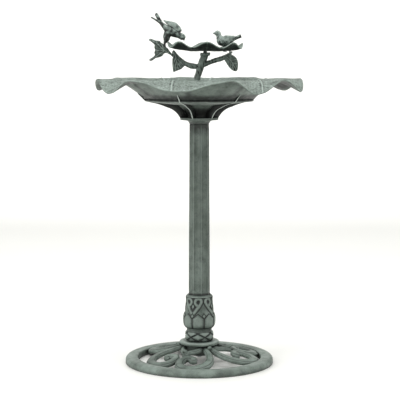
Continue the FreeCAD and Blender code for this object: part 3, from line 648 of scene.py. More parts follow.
def sleeve_relief(degrees, height):
    """How far the sleeve's relief stands out, and where its wash, painted shade, rubbed wear and painted
    highlights lie.
    """
    swing = np.abs((degrees - STRAP_TURN + 45) % 90 - 45)
    ground = with_petals(with_studs(straps(swing, height), swing, height), swing, height)
    rim = ramp(height, 162.6, 163.4)
    # The rim band takes a little wash, with painted shade in the line under its lip and rubbed wear with a
    # painted highlight along its top.
    rim_wash = 0.25 * rim + 0.9 * bell(height - 162.4, 0.9) - 0.9 * bell(height - 164, 0.7)
    return laid_over(with_collar(ground, degrees, height), rim, 1.3 * rim, rim_wash)


def sleeve_radius(height):
    """The sleeve's outline without its relief."""
    knots = [
        (54, 30.4), (57.5, 32.4), (62, 33.4), (67, 33.6), (73, 33), (76.5, 32), (78.5, 30.6),
        (83.4, 30.2), (85.5, 32.4), (92, 35.7), (100, 37.3), (110, 37.5), (120, 36.4), (132, 33.8),
        (144, 32), (156, 31.2), (163.6, 31.1), (168, 27.4),
    ]
    line = smooth_line(knots, 8)
    return np.interp(height, line[:, 0], line[:, 1])


def make_sleeve():
    """The sleeve: one skin from its rim over the outside to its foot, and back up the bore."""
    low, high = span("lotus_sleeve")
    bore = 27.2
    degrees = np.linspace(0, 360, 540, endpoint=False)
    heights = np.linspace(low[2] + 0.2, high[2] - 0.4, 250)
    turn, tall = np.meshgrid(degrees, heights)
    relief, wash = sleeve_relief(turn, tall)
    ends = np.clip(np.minimum(tall - low[2], high[2] - tall) / 1.5, 0, 1)
    radius = sleeve_radius(tall) + relief - 1.2 * (1 - np.sqrt(1 - (1 - ends) ** 2))
    outside = polar(radius, turn, tall)
    rings = [
        polar(bore + 0.7, degrees, high[2]),
        polar(bore, degrees, high[2] - 0.6),
        polar(bore, degrees, low[2]),
        polar(bore + 2.4, degrees, low[2]),
    ]
    grid = np.concatenate([outside, np.stack(rings)])
    wash = np.concatenate([wash, np.zeros((4, len(degrees)))])
    shell = Shell().grid(grid, wash, round_rows=True)
    shell.piece("lotus_sleeve_cast", PEDESTAL, PLASTIC, SLEEVE_SKIN, ["lotus_sleeve"])


def make_column():
    """The tapered column with a round-ended flute in each flat side."""
    low, high = span("column_shaft")
    foot, head, sides, turned = 27.1, 24.3, 8, 11
    flute_low, flute_high, corner = 175, 576, 0.4
    face = 360 / sides
    degrees = np.linspace(0, 360, 50 * sides, endpoint=False) + turned + face / 2
    near = np.linspace(0, 1, 26) ** 1.6
    heights = np.concatenate(
        [
            [low[2], low[2] + 0.8],
            flute_low - 14 + 30 * near,
            np.linspace(flute_low + 30, flute_high - 30, 46),
            flute_high + 4 - 30 * near[::-1],
            [high[2] - 0.8, high[2]],
        ]
    )
    turn, tall = np.meshgrid(degrees, heights)
    size = foot + (head - foot) * (tall - low[2]) / (high[2] - low[2])
    swing = (turn - turned) % face - face / 2
    flat = size * math.cos(math.pi / sides) / np.cos(np.radians(swing))
    beside = flat * np.sin(np.radians(swing))
    half = size * math.sin(math.pi / sides)
    width = half - 2.6
    past = np.maximum(np.maximum(flute_low + width - tall, tall - flute_high + width), 0)
    out = np.hypot(beside, past) / width
    depth = 1.9 * np.clip(1 - out**2, 0, 1) - 0.25 * bell(out - 1.03, 0.08)
    soft = corner * np.exp(-((half - np.abs(beside)) / 1.2))
    radius = flat - depth - soft
    radius = radius - 0.8 * (1 - np.clip(np.minimum(tall - low[2], high[2] - tall) / 0.8, 0, 1))
    # Wash along each flute's edge; rubbed wear and a painted highlight on the corners between faces.
    wash = 0.35 * bell(out - 0.93, 0.1) - 0.4 * bell(half - np.abs(beside), 1.0)
    # Painted shade near the top, under the cradle, and at the foot, where the column enters the sleeve.
    wash = wash + 0.75 * ramp(tall, high[2] - 34, high[2] - 2) + 1.1 * ramp(tall, 176, 169)
    outside = polar(radius, turn, tall)
    bore = [polar(17.7, degrees, high[2]), polar(19.7, degrees, low[2])]
    grid = np.concatenate([outside, np.stack(bore)])
    wash = np.concatenate([wash, np.zeros((2, len(degrees)))])
    shell = Shell().grid(grid, wash, round_rows=True)
    shell.piece("column_fluted", PEDESTAL, PLASTIC, COLUMN_SKIN, ["column_shaft"])


# ---- cradle -------------------------------------------------------------------------------------

FIN_COUNT, FIN_TURN, FIN_THICKNESS = 6, -20, 2.6
LIP, LIP_LOW, LIP_TOP = 130.5, 636.8, 643  # the cup's lip: its radius and heights
PLATE, PLATE_LOW, PLATE_TOP = 46, 592, 597.4  # the collar plate's radius and heights


def arc_points(start, end, bulge, count=12):
    """Points on a shallow arc; bulge is its height over the chord, to the left of its run."""
    start, end = np.array(start, float), np.array(end, float)
    chord = end - start
    length = np.linalg.norm(chord)
    left = np.array([-chord[1], chord[0]]) / length
    t = np.linspace(0, 1, count)[:, None]
    return start + chord * t + left * bulge * 4 * t * (1 - t)


def add_fin(shell, turn):
    """A thin upright fin under the cup, with its blade beside the basin's wall; its edge is rubbed and
    carries a painted highlight, and its sides carry painted shade.
    """
    under = arc_points((47, PLATE_TOP - 0.6), (80, 622.6), 4.6)
    lip = arc_points((80, 622.6), (112, 633), 0.9, 8)
    edge = np.vstack([(24, PLATE_TOP - 0.6), under, lip[1:], (LIP, LIP_LOW), (149, 655.4), (146.8, 656.2)])
    inner = np.vstack([(LIP + 0.3, 642.5), (127.4, 642.4), (127.2, 638.8), (53, 628.4), (24, 606)])
    outline = np.vstack([edge, inner])
    way = np.roll(outline, -1, 0) - np.roll(outline, 1, 0)
    way /= np.linalg.norm(way, axis=1)[:, None]
    inset = outline + np.stack([-way[:, 1], way[:, 0]], 1) * 0.7
    across = np.array([math.cos(math.radians(turn)), math.sin(math.radians(turn)), 0])
    half = FIN_THICKNESS / 2
    # from face to face: an outline, its place across the fin and its wash: painted shade on the sides, rubbed
    # wear with a painted highlight on the edge
    rings = ((inset, -1, 0.9), (outline, -0.7, -1.0), (outline, 0.7, -1.0), (inset, 1, 0.9))
    count, first = len(outline), shell.count
    for ring, side, wash in rings:
        shell.points.append(polar(ring[:, 0], turn, ring[:, 1]) + across * half * side)
        shell.wash.append(np.full(count, wash))
    shell.faces.extend(sheet_faces(len(rings), count, False, first))
    shell.faces.append(tuple(range(first, first + count)))
    last = first + (len(rings) - 1) * count
    shell.faces.append(tuple(range(last + count - 1, last - 1, -1)))
    shell.count += len(rings) * count


def make_cradle():
    """The cup that the basin stands in, with its collar plate and its fins."""
    low, _ = span("bowl_cradle")
    spigot = [(4.4, low[2]), (16.4, low[2]), (17.4, low[2] + 1), (17.4, 582)]
    flare = [(23.6, 582.2), (24.2, 584), (25.6, 586.6), (27.6, 588.8), (30.3, 590.4), (38, 591.2)]
    plate = [
        (PLATE - 0.6, PLATE_LOW), (PLATE, PLATE_LOW + 0.8),
        (PLATE, PLATE_TOP - 0.6), (PLATE - 0.6, PLATE_TOP),
    ]
    neck = [(29.2, PLATE_TOP), (28, 598.2), (27.6, 602), (29.6, 607), (33.6, 613), (39.4, 619), (46, 624.2)]
    under = [(53.6, 628), (80, 630.9), (105, 633.8), (LIP - 1.1, LIP_LOW), (LIP - 0.1, 637.6)]
    lip = [
        (LIP, 638.6), (LIP, 639.2), (LIP, LIP_TOP - 0.6), (LIP - 0.6, LIP_TOP), (127.4, LIP_TOP),
        (126.8, LIP_TOP - 0.6), (126.8, 639.4),
    ]
    inside = [(90, 635.7), (54, 632), (42, 627), (30, 619.5), (20, 612), (4.4, 612)]
    turned = lathe(spigot + flare + plate + neck + under + lip + inside, 288)
    height = turned[..., 2]
    at_lip = ramp(np.linalg.norm(turned[..., :2], axis=-1), 120, 128)
    # Painted shade on the neck under the cup, between the fins, in the seam where the basin stands in the
    # lip, and below the collar plate; rubbed wear with a painted highlight along the plate's top edge and the
    # lip's lower edge.
    wash = 1.0 * ramp(height, 628, 613) * ramp(height, 596, 599) - 0.5 * bell(height - PLATE_TOP + 0.4, 1.2)
    wash = wash + 1.1 * ramp(height, 638.2, 640) * at_lip - 0.25 * bell(height - LIP_LOW - 0.2, 1.0) * at_lip
    wash = wash + 0.6 * ramp(height, 590, 584)
    shell = Shell().grid(turned, wash, round_rows=True)
    for number in range(FIN_COUNT):
        add_fin(shell, FIN_TURN + 360 / FIN_COUNT * number)
    shell.piece("bowl_cradle_cast", PEDESTAL, PLASTIC, CRADLE_SKIN, ["bowl_cradle"])


# ---- leaf basin ---------------------------------------------------------------------------------

# Each lobe of the rim: where it hangs lowest in degrees from the front, how far it hangs, and the
# degrees of its midrib at the crest and at the rim.
RIM_LOBES = [
    (-147, 25, -150, -146), (-102, 26, -99, -104), (-57, 29, -52, -60), (-11, 22, -18.5, -14.5),
    (32, 29, 47, 35), (74, 26, 78, 71), (123, 28, 119, 124), (168, 21, 171, 166),
]
# Where the rim stands level between two lobes, after each low in turn.
RIM_HIGHS = [-124, -77, -38, 17, 51, 98, 147, 191]


def lobes_at(degrees, radius):
    """Each place's droop, its degrees from its lobe's low and midrib, and the lobe's half width."""
    droop, off, rib, half = (np.zeros(np.shape(degrees)) for _ in range(4))
    along = (radius - 183) / (249 - 183)
    for i, (low, depth, crest_rib, rim_rib) in enumerate(RIM_LOBES):
        before = RIM_HIGHS[i - 1] - (360 if i == 0 else 0)
        after = RIM_HIGHS[i]
        rib_at = crest_rib + (rim_rib - crest_rib) * np.clip(along, -1.2, 1)
        for lap in (-360, 0, 360):
            place = degrees + lap
            inside = (place >= before) & (place <= after)
            reach = np.where(place >= low, after - low, low - before)
            bend = depth * (1 + np.cos(np.pi * (place - low) / reach)) / 2
            droop = np.where(inside, bend, droop)
            off = np.where(inside, place - low, off)
            rib = np.where(inside, place - rib_at, rib)
            half = np.where(inside, reach, half)
    return droop, off, rib, half


def vein_relief(radius, rib, off, half):
    """A leaf's veins over one lobe: a midrib, and side veins that branch towards the rim."""
    aside = np.radians(np.abs(rib)) * radius
    width = np.interp(radius, [60, 183, 249], [2.2, 1.7, 1.5])
    midrib = bell(aside, width)
    spacing = 19.0
    number = (radius - 0.62 * aside - 0.0016 * aside**2) / spacing
    beside = np.abs(number - np.round(number)) * spacing
    fade = ramp(np.abs(off) / np.maximum(half, 1), 0.97, 0.82) * ramp(radius, 60, 110)
    side = bell(beside, 1.15) * fade * ramp(aside, 0.5, 2.5)
    return midrib, side


def basin_section(outer, floor, bottom):
    """The basin's closed section, as rows of radius, height, share of the droop, and 1 on the upper side."""
    crest = 183
    section = [
        (3.3, bottom, 0, 0), (60, bottom, 0, 0), (125.2, bottom, 0, 0), (126, bottom + 0.8, 0, 0),
        (126, 643, 0, 0), (129.8, 643, 0, 0), (132, 644.2, 0, 0), (148, 656, 0, 0), (165, 668.4, 0, 0),
        (179, 678.8, 0.01, 0), (186, 684.4, 0.05, 0), (196, 686.8, 0.14, 0), (208, 687.4, 0.28, 0),
        (220, 687.4, 0.46, 0), (233, 687, 0.72, 0), (outer - 3, 686.4, 0.94, 0),
        (outer - 0.9, 686.2, 0.99, 0), (outer - 0.1, 687.2, 1, 0.2), (outer, 688.8, 1, 0.6),
        (outer - 1.2, 690.3, 1, 1), (outer - 4, 690.5, 0.92, 1), (234, 690.4, 0.74, 1),
        (222, 690.8, 0.5, 1), (209, 691.1, 0.29, 1), (197, 690.9, 0.14, 1), (188, 690.4, 0.05, 1),
        (crest, 689.2, 0.02, 1), (178, 684.6, 0, 1), (168, 677, 0, 1), (152, 665, 0, 1),
        (137, 654.2, 0, 1), (124, 646.8, 0, 1), (112, floor, 0, 1), (90, floor, 0, 1),
        (60, floor, 0, 1), (30, floor, 0, 1), (3.3, floor, 0, 1),
    ]
    rows = divided(np.array(section, float), [1] * 9 + [3] * 6 + [1] * 4 + [5] * 6 + [3] * 11)
    keep = rows.copy()
    for column in (1, 2):
        rows[1:-1, column] = np.convolve(keep[:, column], [0.25, 0.5, 0.25], "valid")
    foot_rows = 8
    rows[:foot_rows] = keep[:foot_rows]
    return rows


def make_basin():
    """The leaf-shaped bowl, whose rim droops in lobes, with a leaf's veins on its upper side."""
    low, high = span("leaf_basin")
    outer = high[0]
    rows = basin_section(outer, 644.5, low[2])
    turn, radius, height, share, upper = spread(rows, np.linspace(-180, 180, 864, endpoint=False))
    droop, off, rib, half = lobes_at(turn, radius)
    relative = off / np.maximum(half, 1)
    midrib, side = vein_relief(radius, rib, off, half)
    flange = ramp(radius, 178, 190)
    # the underside of the wall is gently wavy, with a soft pleat below each low of the rim
    pleat = bell(np.radians(off - 2) * radius, 9) * ramp(radius, 132, 150)
    wave = 1.1 * np.cos(np.pi * relative) * ramp(radius, 131, 165)
    under = (wave - 1.2 * pleat) * (1 - upper)
    edge_ripple = 0.9 * np.sin(np.radians(turn * 23)) * ramp(radius, 225, outer)
    edge_ripple = edge_ripple * (0.4 + 0.6 * np.abs(relative))
    lifted = height - share * droop + edge_ripple * ramp(share, 0.5, 1)
    lifted = lifted + upper * (1.5 * midrib + 0.75 * side) * (0.35 + 0.65 * flange) - under * 0.8
    coarse = polar(radius, turn, height)[:, ::6]
    lifted = lifted + 0.65 * rough(coarse, 46, 3).repeat(6, 1) * ramp(radius, 150, 200)
    # the foot that stands in the cradle keeps its true shape
    foot = radius < 131
    lifted = np.where(foot & (upper < 0.5), height, lifted)
    grow = np.where(foot, radius, radius + under * 0.4)
    grid = polar(np.minimum(grow, outer), turn, lifted)
    rim = bell(radius - outer, 1.6) * ramp(share, 0.9, 1.0)
    # Rubbed wear and painted highlights on the upper side's veins and along the rim's edge.
    wash = -1.1 * upper * np.maximum(midrib, 0.55 * side) - 0.9 * rim * upper
    # Painted shade on the underside: under the flange, low down by the cradle, in the pleats and along the
    # wall.
    wash = wash + 0.5 * (1 - upper) * ramp(radius, 185, 196) * ramp(radius, 246, 236)
    wash = wash + 1.15 * ramp(height, 651, 648.4) * (1 - upper) + 0.3 * (1 - upper) * pleat
    wash = wash + (0.3 + 0.25 * ramp(height, 660, 648)) * (1 - upper) * ramp(radius, 128, 140)
    patches = np.clip(rough(coarse, 17, 5).repeat(6, 1), -0.3, 1)
    groove = bell(np.radians(np.abs(rib)) * radius - 4.2, 1.6)
    wash = wash + upper * flange * (0.55 * patches + 0.25 * relative**2 + 0.6 * groove)
    shell = Shell().grid(grid, wash, round_rows=True)
    piece = shell.piece("leaf_basin_cast", BASIN, PLASTIC, BASIN_SKIN, ["leaf_basin"])
    set_values(piece.data, "net", (upper * (0.3 + 0.7 * flange) * (1 - rim)).ravel())


# ---- branch and leaves --------------------------------------------------------------------------

# Limbs as (x, height, radius) in the plane y = 0.
TRUNK = [
    (-20, 648, 9.8), (-11, 674, 8), (-3, 699, 7.4), (2.3, 716, 7.9), (7.6, 732, 8.3), (11.6, 742, 8.5),
    (13.6, 748, 8.6),
]
RIGHT_LIMB = [
    (6, 722, 6.4), (21.4, 728, 5.2), (38, 734, 5.4), (56, 739.5, 5.4), (69, 748.5, 2.4), (79, 754.5, 1.5),
]
RIGHT_TWIG = [(66, 744, 4.2), (74, 747.5, 3), (73, 756, 2.2)]
LEFT_LIMB = [
    (6, 720, 6.4), (-6, 719.6, 5.6), (-17, 720.6, 6.4), (-29, 724.4, 5.6), (-37, 729, 4.8),
    (-47, 737, 4.6), (-57, 747, 4),
]
BUD = [(-57, 743, 4.6), (-59.5, 749, 5.2), (-60.8, 754.5, 3.8), (-60.4, 758.6, 0.8)]


def bar(points, depth=0.0, columns=20, flat=1.0, steps=12):
    """A bar through (x, height, radius) points in the plane y = depth, as a grid of points."""
    line = smooth_line([(x, depth, z, r) for x, z, r in points], steps)
    return tube_grid(line[:, :3], line[:, 3], columns, flat=flat)


def facing_down(ways):
    """How far each surface direction points down, from 0 to 1."""
    return np.clip(-ways[:, 2], 0, 1)


def bark(points, ways):
    """Long furrows and knots along the limbs, with the wash in the furrows, lighter ridges, and painted shade
    where the bark faces down.
    """
    stretch = points * np.array([1, 1, 0.32])
    slanted = stretch + points[:, [2, 0, 1]] * np.array([0.12, 0, 0])
    ridge = 1 - np.abs(rough(slanted, 4.2, 1)) * 2.2
    knots = rough(points, 8.5, 2)
    wood = ramp(points[:, 2], 660, 668)
    lift = (0.75 * ridge + 0.5 * knots) * (0.35 + 0.65 * wood)
    crack = 1.6 * np.clip(0.15 - ridge, 0, 1) - 1.2 * np.clip(ridge - 0.5, 0, 1)
    # Wash in the furrows, lighter ridges, and painted shade where the bark faces down.
    return points + ways * lift[:, None] * 0.9, crack + 0.5 * facing_down(ways)


def trunk_head(centre, radius, height, lean):
    """The sawn end of the trunk: a short thick ring, tilted with the trunk."""
    turn = np.linspace(0, 2 * math.pi, 28, endpoint=False)
    rows = []
    profile = ((-1, 0), (-1, 0.86), (-0.82, 1), (0.7, 1.03), (1, 0.92), (1, 0.5), (0.55, 0.42), (0.5, 0))
    for share, size in profile:
        ring = np.stack([np.cos(turn), np.sin(turn), np.zeros(28)], -1) * radius * max(size, 0.01)
        ring[:, 2] = height / 2 * share + lean * ring[:, 0]
        rows.append(ring + centre)
    return np.stack(rows)


def make_branch():
    """The trunk on its mound, its two limbs with a twig and a bud, and the sawn head with the dish's peg."""
    floor = span("branch_stem")[0][2]
    dish_low = span("leaf_dish")[0][2]
    mound = [(0.3, 0), (34, 0), (33.4, 2), (29, 7), (20, 12), (11, 15.5), (0.3, 16.5)]
    root = [(-21, floor + 1, 19), (-20, floor + 6, 16), (-18.5, floor + 14, 11.5), (-15, floor + 22, 9)]
    peg = [(14, 745, 4), (14, 750, 4), (14, dish_low, 4.4)]
    shells = Shell().solids(lathe([(radius, floor + up) for radius, up in mound], 48))
    shells.solids(*(bar(limb) for limb in (root, TRUNK, RIGHT_LIMB, RIGHT_TWIG, LEFT_LIMB, BUD)))
    shells.solids(trunk_head(np.array([14, 0, 748.6]), 11.6, 6.6, 0.05), bar(peg, steps=4))
    cast("branch_bark", shells, 0.95, 3, BARK_SKIN, "branch_stem", bark)


# Leaf outlines as (x, height); the smooth line through them closes at the stalk.
LOBED_LEAF = [
    (-120.5, 782), (-118.5, 785.5), (-112, 784.5), (-104, 781.5), (-95, 780.5), (-90, 776),
    (-83.5, 771.5), (-80, 766.5), (-75, 762.5), (-69, 754), (-62, 745.5), (-64, 742.5), (-70.5, 748),
    (-79, 751.5), (-84, 750), (-88, 745), (-95, 741.5), (-104, 739.5), (-112, 734), (-118, 733),
    (-119.5, 736.5), (-112.5, 741), (-106.5, 746.5), (-107.5, 753), (-105.5, 759), (-107.5, 765),
    (-107, 771), (-113, 777),
]
LOBED_VEINS = [
    [(-66, 748), (-84, 758), (-100, 773), (-118, 783.5)],
    [(-82, 757), (-97, 757.5), (-106, 760)],
    [(-84, 756), (-97, 748), (-107, 740), (-118, 735)],
    [(-86, 761), (-88, 769), (-93, 778)],
    [(-94, 767.5), (-98, 773), (-103, 779)],
]
LEFT_LEAF = [
    (-60, 748), (-63.5, 741), (-64.6, 733), (-64.3, 721), (-62.6, 708), (-60, 706.6), (-53, 709.5),
    (-44, 713), (-37.5, 718.5), (-33.5, 724), (-35, 730), (-43, 738), (-52, 746),
]
LEFT_VEINS = [
    [(-57, 746), (-54, 728), (-50, 713)],
    [(-56, 741), (-61, 728), (-62, 712)],
    [(-55, 740), (-45, 730), (-37, 722)],
    [(-55, 733), (-49, 724), (-44, 716)],
    [(-55, 731), (-58, 719), (-57, 711)],
]
RIGHT_LEAF = [
    (60, 737), (64, 729), (70, 719.5), (77, 712), (84, 708.5), (90, 708.8), (92, 714), (93, 723),
    (92.2, 731), (89.5, 738.5), (83.5, 744.5), (76, 748), (67, 745),
]
RIGHT_VEINS = [
    [(66, 742), (76, 732), (83, 721), (89, 710)],
    [(73, 735), (83, 735), (89, 737)],
    [(78, 729), (87, 727), (92, 728)],
    [(76, 732), (74, 724), (76, 715)],
    [(81, 724), (80, 718), (82, 711)],
]


def slab(line, depth, thickness):
    """A flat closed slab with this outline of (x, height), in the plane y = depth."""
    shell = Shell()
    count = len(line)
    for side in (-1, 1):
        face = np.stack([line[:, 0], np.full(count, depth + side * thickness / 2), line[:, 1]], -1)
        shell.points.append(face)
    shell.faces.append(tuple(range(count)))
    shell.faces.append(tuple(range(2 * count - 1, count - 1, -1)))
    for j in range(count):
        k = (j + 1) % count
        shell.faces.append((j, k, count + k, count + j))
    return shell


def make_leaf(node, outline, veins, curl, cup):
    """A cast leaf: thin towards its edge, cupped, with raised veins on both sides."""
    low, high = span(node)
    depth, thick = (low[1] + high[1]) / 2, 4.2
    line = smooth_line(outline, 6, closed=True)
    ribs = [smooth_line(vein, 5) for vein in veins]
    middle = line.mean(0)
    size = np.abs(line - middle).max()

    def sculpt(points, ways):
        flat = points[:, [0, 2]]
        inset = distance_to_line(flat, np.vstack([line, line[:1]]))
        away = np.minimum.reduce([distance_to_line(flat, rib) for rib in ribs])
        lead = distance_to_line(flat, ribs[0])
        thin = 0.32 + 0.68 * np.sqrt(np.clip(inset / 7, 0, 1))
        side = np.clip((points[:, 1] - depth) / (thick / 2), -1, 1)
        rib = 0.85 * bell(away, 0.85) + 0.7 * bell(lead, 1.3)
        pillow = 0.5 * ramp(away, 0.6, 3.2)
        swell = (thick / 2 * thin + (rib + pillow) * ramp(inset, 0.2, 1.6)) * side
        place = (flat - middle) / size
        bend = curl * place[:, 0] * place[:, 1] + cup * (place**2).sum(1)
        grain = 0.22 * rough(points, 2.2, 4) + 0.3 * rough(points, 5.5, 5)
        done = points.copy()
        done[:, 1] = depth + swell + bend + grain * side
        # Wash beside the veins, lighter rubbed veins and edge, uneven wash, and painted shade where the leaf
        # faces down.
        wash = bell(away - 1.7, 0.8) * ramp(inset, 0.4, 2) - bell(away, 0.8) - 0.4 * ramp(inset, 0.9, 0.2)
        return done, wash + 0.9 * rough(points, 4.5, 6) + 0.5 * facing_down(ways)

    cast(node + "_cast", slab(line, depth, thick), 0.7, 1, LEAF_SKIN, node, sculpt)


def make_leaves():
    """The two small leaves and the lobed one, each bent its own way."""
    make_leaf("left_leaf", LEFT_LEAF, LEFT_VEINS, 2.5, -1.5)
    make_leaf("right_leaf", RIGHT_LEAF, RIGHT_VEINS, -2.5, -2)
    make_leaf("lobed_leaf", LOBED_LEAF, LOBED_VEINS, 3, 2.5)


# ---- dish ---------------------------------------------------------------------------------------

DISH_LOBES, DISH_TURN, DISH_WAVE = 8, 3, 6.5


def make_dish():
    """The small dish: a shallow leaf whose rim rises and falls, on the trunk's head."""
    low, high = span("leaf_dish")
    centre = np.array([(low[0] + high[0]) / 2, 0, 0])
    rim = (high[0] - low[0]) / 2
    bottom, wall = low[2], 3.0
    mean_rim = 771.5
    section = [
        (2, bottom, 0, 0), (34, bottom, 0, 0), (60, bottom + 2, 0.12, 0),
        (rim - 15, mean_rim - wall - 6.5, 0.45, 0), (rim - 6, mean_rim - wall - 2.4, 0.75, 0),
        (rim - 0.7, mean_rim - 2.2, 1, 0), (rim, mean_rim - 1, 1, 0.5),
        (rim - 0.8, mean_rim + 0.1, 1, 1), (rim - 6, mean_rim - 2.3, 0.8, 1),
        (rim - 15, mean_rim - 6.5, 0.45, 1), (60, 761.2, 0.12, 1), (34, 759.2, 0, 1), (2, 759.2, 0, 1),
    ]
    section = np.array(section, float)
    lengths = np.linalg.norm(np.diff(section[:, :2], axis=0), axis=1)
    rows = divided(section, [max(1, int(length / 2.2)) for length in lengths])
    turn, radius, height, share, upper = spread(rows, np.linspace(0, 360, 420, endpoint=False))
    wave = np.cos(np.radians((turn - DISH_TURN) * DISH_LOBES)) * DISH_WAVE
    half = 180 / DISH_LOBES
    petal = np.abs((turn - DISH_TURN + half) % (2 * half) - half)
    aside = np.radians(petal) * radius
    midrib = bell(aside, 1.5) * ramp(radius, 10, 30)
    spacing = 9.0
    number = (radius - 0.9 * aside) / spacing
    vein = bell((number - np.round(number)) * spacing, 0.8) * ramp(aside, 0.5, 2) * ramp(petal, 21, 16)
    between_petals = bell(np.radians(half - petal) * radius, 2.2) * ramp(radius, 30, 70)
    side = np.where(upper >= 0.5, 1, -1)
    relief = 0.9 * midrib + 0.45 * vein * ramp(radius, 20, 40) - 0.9 * between_petals
    relief = relief * ramp(radius, rim + 0.5, rim - 3) + 0.35 * rough(polar(radius, turn, height), 5, 7)
    scale = 1 - 0.035 * between_petals * ramp(share, 0.5, 1)
    lifted = height + share * wave + side * relief * ramp(radius, 8, 24)
    grid = polar(radius * scale, turn, lifted) + centre
    # it tips a little towards +X
    grid[..., 2] -= 0.02 * (grid[..., 0] - centre[0]) * ramp(radius, 24, 60)
    # Wash in the creases between petals; rubbed wear with painted highlights on the veins and along the rim's
    # edge; painted shade on the underside near the rim.
    wash = 0.6 * between_petals - 0.5 * np.maximum(midrib, 0.6 * vein) - 0.7 * bell(radius - rim, 1.2)
    wash = wash + 0.95 * (side < 0) * ramp(radius, rim, rim - 4)
    shell = Shell().grid(grid, wash, round_rows=True)
    shell.piece("leaf_dish_cast", BASIN, ORNAMENT, LEAF_SKIN, ["leaf_dish"])


# ---- birds --------------------------------------------------------------------------------------


def blade(points, depth, lean, flat):
    """A flat wing of (x, height, half width) points that starts at y = depth and leans in y at each one."""
    line = smooth_line([(x, depth + lean * i, z, r) for i, (x, z, r) in enumerate(points)], 8)
    return tube_grid(line[:, :3], line[:, 3] * round_ends(len(line), 0.06), 18, flat=flat)


def feathers(row_at, wings, head, body_shade, wing_edge=(0, 0, 0)):
    """Rows of short feathers on the body, longer ones on the wings; body_shade paints shade on the body only,
    away from the wings and head.

    row_at is the direction across the rows. Each wing is its centre, reach and direction of its quills.
    wing_edge is a point of the wings' lower edge in side view, as (x, z), with its fall along x.
    """
    edge_x, edge_z, fall = wing_edge

    def sculpt(points, ways):
        soft = rough(points, 3.4, 8)
        row = np.abs(((points @ row_at + 1.2 * soft) / 3.6) % 1 - 0.5) * 2
        scale = rough(points * np.array([1, 1.6, 1]), 2.3, 9)
        lift = 0.42 * soft + 0.28 * (row - 0.5) + 0.3 * scale
        dark = 0.5 * ramp(row, 0.35, 0.05) + 0.55 * np.clip(-scale, 0, 1)
        calm, on_wing = np.ones(len(points)), np.zeros(len(points))
        for centre, reach, quill in wings:
            near = ramp(np.linalg.norm((points - centre) / reach, axis=1), 1.05, 0.85)
            barb = np.abs(((points - centre) @ quill / 3.1) % 1 - 0.5) * 2
            lift = lift * (1 - near) + near * 0.35 * (ramp(barb, 0.0, 0.5) - 0.5)
            dark = dark * (1 - near) + near * 0.7 * ramp(barb, 0.3, 0.0)
            calm = calm - near * 0.2
            on_wing = np.maximum(on_wing, near * ramp(np.abs(points[:, 1] - head[1]), 5.5, 8))
        on_wing = on_wing * ramp(points[:, 2] - edge_z - (edge_x - points[:, 0]) * fall, -1, 1.5)
        bare = calm * ramp(np.linalg.norm(points - head, axis=1), 8, 13)
        # Painted highlight where the feathers face up; below, body_shade paints shade on the body, and
        # painted shade falls where they face down.
        wash = 1.7 * dark - 0.4 + 1.6 * rough(points, 6.5, 12) - 0.7 * facing_down(-ways)
        wash = wash + body_shade * (1 - on_wing) * bare + 1.0 * facing_down(ways)
        return points + ways * (lift * calm)[:, None], wash

    return sculpt


def eyes(shells, place, half, radius):
    """A small bead either side of the head."""
    turn = np.linspace(0, 2 * math.pi, 10, endpoint=False)
    for side in (-1, 1):
        centre = np.array(place) + np.array([0, side * half, 0])
        rows = []
        for tilt in np.linspace(0.2, math.pi - 0.2, 7):
            out, size = side * math.cos(tilt), math.sin(tilt)
            ring = np.stack([size * np.cos(turn), np.full(len(turn), out), size * np.sin(turn)], -1)
            rows.append(centre + radius * ring)
        shells.solids(np.stack(rows))


def make_dish_bird():
    """The bird that sits in the dish with its tail up; x and z are the middle of its body."""
    floor = span("dish_bird")[0][2]
    x, z, girth = 61.5, 780.5, 12.6
    body = [
        (x + 23, z + 5.5, 4.6), (x + 12, z + 2.5, 0.7 * girth), (x + 1, z, 0.97 * girth),
        (x - 8, z + 0.8, girth), (x - 12.6, z + 7, 0.68 * girth), (x - 15, z + 12.6, 6.3),
        (x - 17, z + 17.4, 7.0), (x - 17.8, z + 21.8, 5.8), (x - 17.8, z + 24.8, 1.6),
    ]
    beak = [(x - 20.5, z + 19, 4.6), (x - 25, z + 18.2, 3.2), (x - 28.6, z + 17.5, 1.6)]
    tail = [(x + 17, z + 2.5, 4.6), (x + 28, z + 7.6, 4.4), (x + 38.4, z + 12, 4.3)]
    foot = [(x, floor, 5.2), (x, z - 12, 4.6), (x - 1, z - 6, 6)]
    wing = [(x - 9, z + 4, 4), (x + 1, z + 5, 8), (x + 13, z + 6.4, 6.6), (x + 26, z + 9.5, 2.6)]
    shells = Shell().solids(bar(body, columns=28), bar(beak), bar(tail, flat=0.75), bar(foot))
    shells.solids(*(blade(wing, side * 9.2, -side * 1.1, 0.42) for side in (-1, 1)))
    eyes(shells, (x - 19, 0, z + 20.4), 5.0, 1.5)
    reach, quill = np.array([19, 4, 8.5]), np.array([0.25, 0, 1.0])
    wings = [(np.array([x + 8, side * 10, z + 6]), reach, quill) for side in (-1, 1)]
    sculpt = feathers(np.array([0.8, 0, -0.55]), wings, np.array([x - 18, 0, z + 20]), 0.15)
    cast("dish_bird_cast", shells, 0.62, 2, FEATHER_SKIN, "dish_bird", sculpt)


